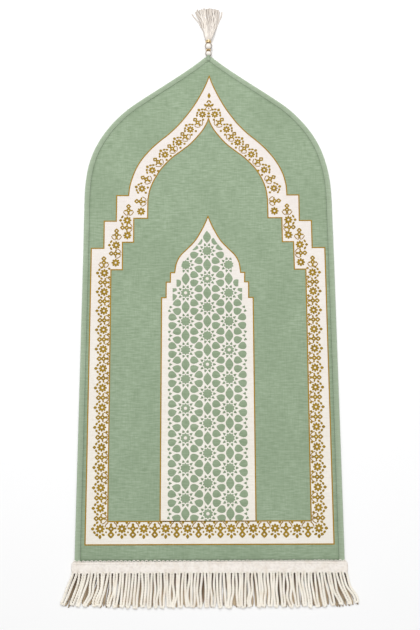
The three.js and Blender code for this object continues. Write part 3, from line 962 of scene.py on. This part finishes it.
ROW_Y, ROW_HALF, ROW_PITCHES = 70.9, 246, 10
SIDE_TOP_Y, SIDE_PITCHES = 674.3, 13
BUD_ASIDE, BUD_IN, SIDE_BUD_IN = 10.6, 13.4, 11.4
ARCH_BUD_ASIDE, ARCH_BUD_IN = 8.0, 14.0
COLUMN_SHIFT, ARCH_SHIFT = 1.2, 0.8
ROSETTE_SIDE, ROSETTE_ARCH = 0.97, 0.88
TULIP_SIDE, TULIP_ARCH, TULIP_STEP = 0.88, 0.84, 0.86
APEX_Y, APEX_RING_Y, APEX_BUD_Y = 1100, 1094.4, 1095.2
DOWN, LEFT, UP = -90, 180, 90

# One side of the arch and its steps, by motif: middle, and which way its outer side faces.
ARCH_ROSETTES = [
    ((15.1, 1079.6), 128), ((44, 1040), 133), ((71.4, 1005.8), 137), ((104.3, 974.2), 136),
    ((135.1, 934), 143), ((158.6, 886.6), 162),
]  # fmt: skip
STEP_ROSETTES = [((192.4, 806.2), 180), ((218.4, 743.8), 180)]
CORNER_ROSETTES = [(159.6, 828.6), (191.9, 768.1), (219.2, 699.7)]
ARCH_TULIPS = [
    ((27, 1059), 130), ((57, 1022), 134), ((88, 990.5), 137), ((121.5, 956), 139), ((149.7, 911.1), 152),
]  # fmt: skip
STEP_TULIPS = [
    ((161.2, 854), 176), ((189.6, 832.4), 90), ((194.6, 787.4), 178), ((217.6, 770.6), 90),
    ((220.6, 722.6), 178), ((247.3, 701), 90),
]  # fmt: skip


def make_flowers():
    """The motifs of the bottom row, the sides, the arch, the steps and the apex."""

    def both(motif, centre, outer, *rest):
        """The motif on the left, and mirrored on the right."""
        motif(strayed((-centre[0], centre[1])), outer, *rest)
        motif(strayed(centre), 180 - outer, *rest)

    pitch = 2 * ROW_HALF / ROW_PITCHES
    for k in range(ROW_PITCHES):
        x = -ROW_HALF + k * pitch
        tulip((x + pitch / 2, ROW_Y), DOWN, diamond=ROW_DIAMOND)
        if k:
            flower((x, ROW_Y), DOWN, plan=ROW_LEAVES)
            for side in (-1, 1):
                line_bud((x + side * BUD_ASIDE, ROW_Y + BUD_IN), DOWN)
    climb = (SIDE_TOP_Y - ROW_Y) / SIDE_PITCHES
    for k in range(SIDE_PITCHES + 1):
        y = ROW_Y + k * climb
        both(flower, (ROW_HALF, y), LEFT, ROSETTE_SIDE if k else 1.0)
        if k:
            both(tulip, (ROW_HALF, y - climb / 2), LEFT, TULIP_SIDE, COLUMN_SHIFT)
            for side in (-1, 1):
                both(line_bud, (ROW_HALF - SIDE_BUD_IN, y + side * BUD_ASIDE), LEFT)
        else:
            both(leaves, (ROW_HALF, y), DOWN, 1.0, ROW_LEAVES)
    for centre, outer in ARCH_ROSETTES:
        both(flower, centre, outer, ROSETTE_ARCH)
        for side in (-1, 1):
            bud = turned((side * ARCH_BUD_ASIDE, ARCH_BUD_IN), 180 - outer, centre, ROSETTE_ARCH)
            both(line_bud, bud, outer)
    for centre, outer in STEP_ROSETTES:
        both(flower, centre, outer, ROSETTE_SIDE, STEP_LEAVES)
    for centre in CORNER_ROSETTES:
        both(flower, centre, LEFT, ROSETTE_SIDE, [])
    for centre, outer in ARCH_TULIPS:
        both(tulip, centre, outer, TULIP_ARCH, ARCH_SHIFT)
    for centre, outer in STEP_TULIPS:
        both(tulip, centre, outer, TULIP_STEP, ARCH_SHIFT)
    apex_x = strayed((0, APEX_Y))[0]
    leaves((apex_x, APEX_Y), UP, 1.0, APEX_LEAVES)
    ring_leaf(scrolls, (apex_x, APEX_RING_Y), 0, 17, 14, 0.76, 1.05)
    leaf(scrolls, (apex_x, APEX_BUD_Y), UP, 5.6, 3.6, 1.4)


make_flowers()
border_flowers = flowers.build("border_flowers", GOLD_FLOWER, smooth_angle=60)
border_scrolls = scrolls.build("border_scrolls", GOLD_SCROLL, smooth_angle=60)

# ---------- The heading and the fringe ----------

HEADING_TOP, HEADING_FOOT = -2.0, -28.2
HEADING_EDGE_Z, HEADING_RISE, LOOP_RELIEF = 0.8, 3.85, 0.95
HEADING_COLUMNS, HEADING_ROWS, MOTTLE_GRID = 401, 19, (40, 400)
HEADING_ROUND = 5.0  # how much narrower the band is at its two long edges
HEADING_ROLL = 3.2  # how far in from its edges it turns down
LOOP_PITCH_X, LOOP_PITCH_Y = 3.3, 2.9
SCALLOP_PITCH, DASH_PITCH, DASH_LENGTH = 9.4, 9.8, 6.0
SCALLOP_START, DASH_START, YARN_STOP = 4, 3, 8  # how far in from the band's ends
SCALLOP_RADIUS, DASH_RADIUS, KNOT_RADIUS = 0.95, 0.85, 1.35
SCALLOP_POINTS, DASH_POINTS = 9, 5
SCALLOP_Y, DASH_Y, KNOT_Y = HEADING_TOP - 1.6, HEADING_TOP - 5.4, HEADING_FOOT - 1.6
# The height at the ends of each, and how much higher its middle is.
SCALLOP_Z, DASH_Z, KNOT_Z = (4.9, 0.4), (5.15, 0.45), (4.2, 0.9)
LOOP_COUNT, LOOP_ROOT_HALF = 44, 300.5  # the fringe's loops, and half the width of their row
LOOP_GAP = 4.15  # how far each leg is from its loop's middle


def bow(maker, x, y, z, radius, flatten=1.0):
    """A short yarn bowed over x; y and z are each its place at the ends and its rise in the middle."""
    rise = np.sin(np.linspace(0, np.pi, len(x)))
    tube(maker, np.column_stack([x, y[0] + y[1] * rise, z[0] + z[1] * rise]), radius, flatten=flatten)


def make_heading():
    """The knitted band between the cloth and the fringe, with looped edges."""
    maker = MeshMaker()
    x = np.linspace(-HEADING_HALF_WIDTH, HEADING_HALF_WIDTH, HEADING_COLUMNS)
    y = np.linspace(HEADING_TOP, HEADING_FOOT, HEADING_ROWS)
    gx, gy = np.meshgrid(x, y)
    row = np.floor((gy - HEADING_FOOT) / LOOP_PITCH_Y)
    loops = np.abs(np.sin(np.pi * (gx / LOOP_PITCH_X + 0.5 * (row % 2))))
    loops = loops * np.abs(np.sin(np.pi * (gy - HEADING_FOOT) / LOOP_PITCH_Y)) ** 0.7
    uneven = 0.6 + 0.8 * rng.random(gx.shape)
    edge = np.minimum.reduce([HEADING_HALF_WIDTH - np.abs(gx), HEADING_TOP - gy, gy - HEADING_FOOT])
    middle = (HEADING_TOP + HEADING_FOOT) / 2
    from_middle = np.abs(gy - middle) / (HEADING_TOP - middle)
    gx = gx * (1 - HEADING_ROUND / HEADING_HALF_WIDTH * from_middle**6)
    gy = gy + 0.7 * np.sin(gx / 5.1) * np.sin(gx / 13.7) * from_middle**4
    column = np.floor((gx + HEADING_HALF_WIDTH) / LOOP_PITCH_X)
    mottle = rng.random(MOTTLE_GRID)[row.astype(int) + 1, column.astype(int)]
    roll = np.sqrt(np.clip(1 - (1 - np.clip(edge / HEADING_ROLL, 0, 1)) ** 2, 0, 1))
    height = HEADING_EDGE_Z + HEADING_RISE * roll + LOOP_RELIEF * loops * uneven * roll
    # The mottle is a random tone from loop to loop; the rest is painted shade in the hollows between loops
    # and on the edges that turn down.
    shade = 0.13 * mottle**2 * roll + 0.07 * (1 - loops) * roll + 0.08 * (1 - roll)
    faces = quads(HEADING_ROWS, HEADING_COLUMNS, closed=False, flip=True)
    slab(maker, np.column_stack([gx.ravel(), gy.ravel()]), height.ravel(), faces, shade.ravel())
    # Little arcs of yarn along the top edge, lying over the cloth's foot.
    stop = HEADING_HALF_WIDTH - YARN_STOP
    for start in np.arange(SCALLOP_START - HEADING_HALF_WIDTH, stop, SCALLOP_PITCH):
        wide = SCALLOP_PITCH * (0.86 + 0.12 * rng.random())
        x = start + wide * np.linspace(0, 1, SCALLOP_POINTS)
        bow(maker, x, (SCALLOP_Y, 2.8 + 1.2 * rng.random()), SCALLOP_Z, SCALLOP_RADIUS, 0.8)
    # A dashed row of stitches below them.
    for start in np.arange(DASH_START - HEADING_HALF_WIDTH, stop, DASH_PITCH):
        x = start + DASH_LENGTH * np.linspace(0, 1, DASH_POINTS)
        bow(maker, x, (DASH_Y + 0.5 * rng.random(), 0), DASH_Z, DASH_RADIUS)
    # An arc of yarn over the top of each loop of the fringe.
    for middle in np.linspace(-LOOP_ROOT_HALF, LOOP_ROOT_HALF, LOOP_COUNT):
        half = LOOP_GAP * rng.uniform(0.92, 1.1)
        x = middle - half * np.cos(np.linspace(0, np.pi, SCALLOP_POINTS))
        bow(maker, x, (KNOT_Y, 2.8), KNOT_Z, KNOT_RADIUS)
    return maker.build("fringe_heading", COTTON)


# Painted shade on the side of each ply that turns under the other.
PLY_SHADE = 0.22


def two_ply(maker, path, radius, pitch, phase, shade, ends=True):
    """A yarn of two plies twisted together along path; with ends, its far end loosens and tapers."""
    along, ahead = lengths(path), unit(np.gradient(path, axis=0))
    aside = np.column_stack([ahead[:, 1], -ahead[:, 0], np.zeros(len(path))])
    turn = 2 * np.pi * along / pitch + phase
    left = along[-1] - along
    loosen = 1 + 0.5 * ends * np.clip(1 - left / 7, 0, 1)
    taper = 1 - 0.65 * ends * (1 - np.clip(left / 3.5, 0, 1) ** 0.6)
    for side in (1, -1):
        ply = path + aside * (side * radius * loosen * np.cos(turn))[:, None]
        ply[:, 2] += side * radius * 0.62 * np.sin(turn)
        ply[:, 2] = np.maximum(ply[:, 2], radius * 0.88)
        under = 0.5 - 0.5 * side * np.sin(turn)
        tube(maker, ply, radius * taper, flatten=0.85, shade=shade + PLY_SHADE * under**2)


YARN_RADIUS, YARN_TWIST = 1.62, 10.5
UNDER_COUNT, UNDER_RADIUS = 150, 2.6
LEG_POINTS, FOOT_POINTS, UNDER_POINTS = 36, 11, 24
# How unevenly the looped and the under yarns lean, how far they wander, and how long they are.
LOOP_LEAN, UNDER_LEAN = 1.6, 2.0
LOOP_WANDER, UNDER_WANDER, LEG_SWAY = (1.3, 1.5), (1.2, 1.2), 1.1
LOOP_SHORTER, UNDER_SHARE, CORNER_SHORTER = (3.0, 6.6), (0.86, 0.955), 4
LOOP_Z, ROOT_RISE, NEXT_RISE = 2.3, 1.2, 0.5  # every other loop lies higher
UNDER_Z = 1.0


def fringe_line(across, drop, lean, wander, t):
    """The middle of a loop at t down its length, leaning outwards and wandering a little."""
    first, second, phase = wander
    x = LOOP_ROOT_HALF * across + lean * t**1.35
    x = x + first * np.sin(np.pi * t * 0.9) + second * t * np.sin(2.6 * np.pi * t + phase)
    y = HEADING_FOOT + 1.6 - (drop + 1.6) * t
    return x, y


def make_fringe():
    """Looped yarns side by side, over flat ones painted in shade, dark at their roots, that fill the gaps
    between them.
    """
    yarns, under = MeshMaker(), MeshMaker()
    legs = np.linspace(0, 1, LEG_POINTS)
    foot_turn = np.linspace(0, np.pi, FOOT_POINTS)[1:-1]
    for i in range(LOOP_COUNT):
        across = 2 * i / (LOOP_COUNT - 1) - 1
        lean = FRINGE_SPLAY * across**3 + rng.normal(0, LOOP_LEAN)
        drop = math.sqrt(FRINGE_LENGTH**2 - lean**2) - CORNER_SHORTER * abs(across) ** 9
        drop = drop + rng.uniform(-LOOP_SHORTER[1], -LOOP_SHORTER[0])
        wander = (*rng.normal(0, LOOP_WANDER), any_phase())
        foot_gap = LOOP_GAP * rng.uniform(0.55, 0.9)
        x, y = fringe_line(across, drop - foot_gap, lean, wander, legs)
        sway = [
            rng.normal(0, LEG_SWAY) * np.sin(np.pi * legs) * np.sin(3 * legs + any_phase())
            for _ in range(2)
        ]
        gap = LOOP_GAP + (foot_gap - LOOP_GAP) * legs
        height = LOOP_Z + ROOT_RISE * np.clip(1 - legs * 3.2, 0, 1) ** 1.4 + NEXT_RISE * (i % 2)
        down = np.column_stack([x - gap + sway[0], y, height])
        up = np.column_stack([x + gap + sway[1], y, height])[::-1]
        foot_x, foot_y = x[-1] - foot_gap * np.cos(foot_turn), y[-1] - foot_gap * np.sin(foot_turn)
        foot = np.column_stack([foot_x, foot_y, np.full(len(foot_turn), height[-1])])
        # A random tone per loop, and painted shade on both legs near their roots under the heading.
        shade = rng.uniform(-0.03, 0.03)
        shade = shade + 0.06 * np.concatenate([1 - legs, np.zeros(len(foot_turn)), legs]) ** 6
        radius = YARN_RADIUS * rng.uniform(0.92, 1.08)
        twist = YARN_TWIST * rng.uniform(0.9, 1.15)
        two_ply(yarns, np.vstack([down, foot, up]), radius, twist, any_phase(), shade, ends=False)
    t = np.linspace(0, 1, UNDER_POINTS)
    for i in range(UNDER_COUNT):
        across = 2 * i / (UNDER_COUNT - 1) - 1
        lean = FRINGE_SPLAY * across**3 + rng.normal(0, UNDER_LEAN)
        drop = FRINGE_LENGTH * rng.uniform(*UNDER_SHARE)
        wander = (*rng.normal(0, UNDER_WANDER), any_phase())
        x, y = fringe_line(across, drop, lean, wander, t)
        z = UNDER_Z + ROOT_RISE * np.clip(1 - t * 3.2, 0, 1)
        # Painted shade: full at each under yarn's root, fading along it to a random lesser share.
        pale = rng.uniform(0.25, 0.65)
        shade = pale + (1 - pale) * np.clip(1.15 - t / rng.uniform(0.45, 0.95), 0, 1)
        taper = 0.4 + 0.6 * np.clip((1 - t) * 12, 0, 1)
        tube(under, np.column_stack([x, y, z]), UNDER_RADIUS * taper, flatten=0.36, shade=shade)
    return yarns.build("fringe_yarns", FRINGE_COTTON), under.build("fringe_under_yarns", UNDER_COTTON)


fringe_heading = make_heading()
fringe_yarns, fringe_under = make_fringe()

# ---------- The tab, the beads and the tassel at the tip ----------

LATHE_SIDES = 64
BEAD_HOLE, BEAD_STEPS = 1.7, 28


def bead_profile(centre, half_length, radius):
    """An oval bead, with a dimple where it is drilled at each end."""
    dimple = [(half_length - 0.9, BEAD_HOLE * 0.35), (half_length - 0.55, BEAD_HOLE * 0.8)]
    profile = [(centre - out, r) for out, r in dimple]
    for angle in np.linspace(-90, 90, BEAD_STEPS + 1):
        c, s = cos_sin(angle)
        r = radius * c**0.94
        if r > BEAD_HOLE:
            profile.append((centre + half_length * s, r))
    return profile + [(centre + out, r) for out, r in reversed(dimple)]


def turned_piece(name, material, smooth_angle, axis_z, profile, rim=None):
    """A piece turned about the rug's long axis from (y, radius) pairs, with its ends closed.

    rim, where it has one, is a ring of little grains: its y and radius, and their size and number.
    """
    maker = MeshMaker()
    cos, sin = circle(LATHE_SIDES)
    rings = [np.column_stack([r * cos, np.full(LATHE_SIDES, y), axis_z + r * sin]) for y, r in profile]
    maker.add(np.vstack(rings), closed_faces(len(profile), LATHE_SIDES, flip=True))
    if rim:
        y, radius, grain, count = rim
        steps = np.linspace(-1, 1, 5)
        for c, s in zip(*circle(count)):
            path = [(radius * c, y + grain * step, axis_z + radius * s) for step in steps]
            tube(maker, path, grain * np.sqrt(np.clip(1 - steps**2, 0.02, 1)))
    return maker.build(name, material, smooth_angle)


# The gold caps' outlines: (along the rug, radius).
CUP_PROFILE = [
    (1233.0, 1.6), (1233.0, 2.5), (1233.3, 3.0), (1234.0, 3.5), (1234.8, 3.9), (1235.3, 4.0),
    (1235.6, 3.7), (1235.3, 3.0), (1234.9, 1.6),
]  # fmt: skip
SPACER_PROFILE = [
    (1248.2, 1.6), (1247.8, 3.8), (1247.9, 4.7), (1248.4, 5.1), (1248.9, 4.9), (1249.3, 4.8),
    (1249.8, 5.0), (1250.2, 5.4), (1250.7, 5.5), (1251.0, 5.1), (1250.7, 1.6),
]  # fmt: skip
COLLAR_PROFILE = [
    (1269.0, 1.6), (1268.4, 5.0), (1268.6, 6.0), (1269.1, 6.4), (1269.6, 6.1), (1270.1, 6.0),
    (1271.0, 6.2), (1272.2, 6.5), (1273.2, 6.8), (1273.8, 7.0), (1274.4, 6.9), (1274.5, 6.4),
    (1273.8, 5.9), (1271.0, 5.5), (1270.2, 5.0), (1270.0, 1.6),
]  # fmt: skip
# Each pearl: its middle along the rug, half its length, and its radius.
SMALL_PEARL, LARGE_PEARL = (1240.7, 6.9, 8.1), (1259.8, 9.0, 9.1)
# Each rim: y, radius, and its grains' size and number.
SPACER_RIM, COLLAR_RIM = (1249.4, 5.15, 0.5, 26), (1271.5, 6.5, 0.55, 30)
SMALL_AXIS_Z, SPACER_AXIS_Z, LARGE_AXIS_Z = 8.2, 8.7, 9.2
TAB_RINGS, TAB_SIDES = 19, 20
TAB_HALF_WIDTH, TAB_BULGE, TAB_HALF_THICK, TAB_RIPPLE = 4.2, 1.3, 1.9, 0.12
TAB_START_Z, TAB_RISE, TAB_ARCH = 5.6, 6.9, 0.10


def make_tab():
    """A folded end of tape, rounded, rising over the mitre and the cup."""
    maker, points = MeshMaker(), []
    for k in range(TAB_RINGS):
        t = k / (TAB_RINGS - 1)
        close = math.sqrt(max(0.02, 1 - (2 * t - 1) ** 6))
        half = (TAB_HALF_WIDTH + TAB_BULGE * math.sin(math.pi * t)) * close
        middle = TAB_START_Z + TAB_RISE * t**1.3
        thick = (TAB_HALF_THICK + TAB_RIPPLE * math.sin(9 * t)) * close
        for c, s in zip(*circle(TAB_SIDES)):
            x = half * math.copysign(abs(c) ** 0.8, c)
            z = middle + thick * math.copysign(abs(s) ** 0.85, s) - TAB_ARCH * x * x
            points.append((x, TAB_START + (TAB_VISIBLE_END - TAB_START) * t, z))
    maker.add(points, closed_faces(TAB_RINGS, TAB_SIDES, flip=True), 0.1)
    return maker.build("hanging_tab_cloth", SAGE_TAPE, smooth_angle=60)


TASSEL_Y, TASSEL_STATIONS, TASSEL_RADIUS, TASSEL_TWIST = 1270.6, 52, 1.06, 8.5
TASSEL_EDGE_REACH, TASSEL_EDGE_X = (2, 31, 60, 79, 97), (4.4, 12.2, 20.2, 26.2, 30.5)
TASSEL_LEAN_REACH, TASSEL_LEAN_X = (8, 40, 60, 96), (0, 2.2, 1.4, -3.6)
# Each layer: how many strands, how wide beside the edge, length, how much shorter at its sides, height
# parted and flat, and how much painted shade it takes.
TASSEL_LAYERS = [
    (22, 1.0, 97, 3, 3.4, 1.4, 0.16), (15, 0.97, 97, 5, 6.4, 3.4, 0.1), (11, 0.8, 95, 6, 10.2, 5.8, 0.0),
]  # fmt: skip
# A stray yarn at each side: where it starts and ends across, length, heights, how much painted shade, and
# layer.
TASSEL_STRAYS = [(-1, -1.34, 88, (3.2, 1.4), 0.1, 0), (1, 1.26, 93, (3.2, 1.4), 0.1, 0)]
TASSEL_NECK_LIFT = (-3.8, 0.4, 4.0)
NECK_HALF, NECK_SPREAD = 4.2, 5.3
# From where to where down the tassel a strand parts from its neighbours, sinks, lies flat and takes its
# layer's painted shade; and, given backwards, where it leaves the neck's width and the neck's painted shade.
PARTS, SINKS, FLATTENS, LAYER_SHADE = (22, 84), (4, 26), (24, 56), (8, 22)
NECK_WIDTH, NECK_SHADE = (14, 2), (22, 4)


def make_tassel():
    """Layers of two-ply yarns, gathered at the neck and lying spread out below it."""
    maker, plan = MeshMaker(), []
    for layer, (count, share, length, shorter, *heights, depth) in enumerate(TASSEL_LAYERS):
        for i in range(count):
            u = 2 * i / (count - 1) - 1
            spread = share * u + rng.normal(0, 0.02)
            plan.append((u, spread, length - shorter * u * u + rng.uniform(-3, 1.5), heights, depth, layer))
    for u, spread, length, (part_z, flat_z), depth, layer in plan + TASSEL_STRAYS:
        reach = np.linspace(2.0, length, TASSEL_STATIONS)
        bend = rng.normal(0, 0.8) * np.sin(np.pi * reach / length)
        ripple = rng.normal(0, 0.85) * np.sin(reach / 6.5 + any_phase()) * np.clip(reach / 40, 0, 1)
        parted = u + (spread - u) * smoothstep(reach, *PARTS)
        edge = parted * np.interp(reach, TASSEL_EDGE_REACH, TASSEL_EDGE_X)
        x = edge + (NECK_HALF * u - edge) * smoothstep(reach, *NECK_WIDTH) + bend + ripple
        x = x + np.interp(reach, TASSEL_LEAN_REACH, TASSEL_LEAN_X)
        y = TASSEL_Y + np.sqrt(np.maximum(reach**2 - (edge - NECK_SPREAD * spread) ** 2, 0.1))
        round_z = LARGE_AXIS_Z + TASSEL_NECK_LIFT[layer] * math.sqrt(max(0, 1.05 - u * u))
        z = round_z + (part_z - round_z) * smoothstep(reach, *SINKS)
        z = z + (flat_z - part_z) * smoothstep(reach, *FLATTENS)
        # A little darker all over and a random tone per strand; painted shade on the lower layers and at the
        # neck.
        shade = 0.05 + rng.uniform(0, 0.2) + depth * smoothstep(reach, *LAYER_SHADE)
        shade = shade + 0.12 * smoothstep(reach, *NECK_SHADE)
        radius = TASSEL_RADIUS * rng.uniform(0.92, 1.1)
        twist = TASSEL_TWIST * rng.uniform(0.85, 1.2)
        two_ply(maker, np.column_stack([x, y, z]), radius, twist, any_phase(), shade)
    return maker.build("tassel_yarns", COTTON)


tab_cloth = make_tab()
small_pearl = turned_piece("small_pearl", PEARL, 60, SMALL_AXIS_Z, bead_profile(*SMALL_PEARL))
large_pearl = turned_piece("large_pearl", PEARL, 60, LARGE_AXIS_Z, bead_profile(*LARGE_PEARL))
cup_gold = turned_piece("tip_cup_gold", GOLD_METAL, 40, SMALL_AXIS_Z, CUP_PROFILE)
spacer_gold = turned_piece("bead_spacer_gold", GOLD_METAL, 40, SPACER_AXIS_Z, SPACER_PROFILE, SPACER_RIM)
collar_gold = turned_piece("tassel_collar_gold", GOLD_METAL, 40, LARGE_AXIS_Z, COLLAR_PROFILE, COLLAR_RIM)
tassel_yarns = make_tassel()

# ---------- Riding, camera, light ----------

pieces = {
    rug_cloth: ("rug_cloth", "rug_body"),
    binding_left: ("binding_cloth", "binding_left"),
    binding_right: ("binding_cloth", "binding_right"),
    tab_cloth: ("binding_cloth", "hanging_tab"),
    fringe_yarns: ("cotton_yarn", "fringe"),
    tassel_yarns: ("cotton_yarn", "tassel"),
    small_pearl: ("pearl", "small_bead"),
    large_pearl: ("pearl", "large_bead"),
    cup_gold: ("gold_metal", "tip_cup"),
    spacer_gold: ("gold_metal", "bead_spacer"),
    collar_gold: ("gold_metal", "tassel_collar"),
}
for piece in (fringe_heading, fringe_under):
    pieces[piece] = ("cotton_yarn", None)
for piece in (
    binding_stitches, border_ground, panel_ground, gold_lines, lattice, lattice_dots, border_flowers,
    border_scrolls,
):  # fmt: skip
    pieces[piece] = ("rug_cloth", None)
for piece, (slot, node) in pieces.items():
    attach(piece, "root")
    if node:
        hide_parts(node)

outline_area = abs(area_of(rug_outline(3))) * MM * MM

# The camera: its lens, its roll and tilt in radians, and its place, in mm from the middle of the rug's foot.
CAMERA_LENS, CAMERA_ROLL = 82.17, -0.00374
CAMERA_TILT = math.radians(16)
CAMERA_PLACE = (2.94, -358.8, 3243.7)


def make_camera():
    data = bpy.data.cameras.new("camera")
    data.lens, data.sensor_width = CAMERA_LENS, 36
    camera = bpy.data.objects.new("camera", data)
    bpy.context.scene.collection.objects.link(camera)
    x, y, z = CAMERA_PLACE
    camera.location = (x * MM, (y + FOOT) * MM, z * MM)
    turn = Matrix.Rotation(CAMERA_TILT, 3, "X") @ Matrix.Rotation(CAMERA_ROLL, 3, "Z")
    camera.rotation_euler = turn.to_euler()
    bpy.context.scene.camera = camera


# In metres: half the floor's side, and how far it lies below the rug.
FLOOR_HALF, FLOOR_DROP = 12, 0.0002
# The world's grey below and white above, how high it turns white, and its strength.
WORLD_LOW, WORLD_HIGH, WORLD_HIGH_AT, WORLD_STRENGTH = (0.45, 0.45, 0.46, 1), (1, 1, 1, 1), 0.75, 0.75
# Each lamp's name, place and size in metres, and power.
LAMPS = [("key", (-0.5, 1.9, 2.7), 1.6, 52), ("fill", (0.9, -0.3, 3.2), 2.0, 14)]


def make_stage():
    mesh = bpy.data.meshes.new("floor")
    corners = [(FLOOR_HALF * x, FLOOR_HALF * y, 0) for x, y in ((-1, -1), (1, -1), (1, 1), (-1, 1))]
    mesh.from_pydata(corners, [], [(0, 1, 2, 3)])
    n = Nodes("floor_paint")
    n.bump(n.noise((300, 300, 300)), 0.02)
    white = n.mix(n.noise((2, 2, 2)), (0.93, 0.93, 0.93, 1), (0.95, 0.95, 0.95, 1))
    mesh.materials.append(n.finish(white, 0.9))
    floor = bpy.data.objects.new("floor", mesh)
    floor.location.z = -FLOOR_DROP
    bpy.context.scene.collection.objects.link(floor)


def make_lights():
    world = bpy.data.worlds.new("studio")
    bpy.context.scene.world = world
    world.use_nodes = True
    tree = world.node_tree
    split = tree.nodes.new("ShaderNodeSeparateXYZ")
    ramp = tree.nodes.new("ShaderNodeValToRGB")
    background = tree.nodes["Background"]
    tree.links.new(tree.nodes.new("ShaderNodeTexCoord").outputs["Generated"], split.inputs[0])
    tree.links.new(split.outputs["Z"], ramp.inputs["Fac"])
    tree.links.new(ramp.outputs["Color"], background.inputs["Color"])
    low, high = ramp.color_ramp.elements
    low.color, high.color, high.position = WORLD_LOW, WORLD_HIGH, WORLD_HIGH_AT
    background.inputs["Strength"].default_value = WORLD_STRENGTH
    for name, place, size, power in LAMPS:
        data = bpy.data.lights.new(name, "AREA")
        data.size, data.energy = size, power
        light = bpy.data.objects.new(name, data)
        light.location = place
        light.rotation_euler = (-Vector(place)).to_track_quat("-Z", "Y").to_euler()
        bpy.context.scene.collection.objects.link(light)


make_camera()
make_stage()
make_lights()
bpy.context.scene.view_settings.view_transform = "Standard"
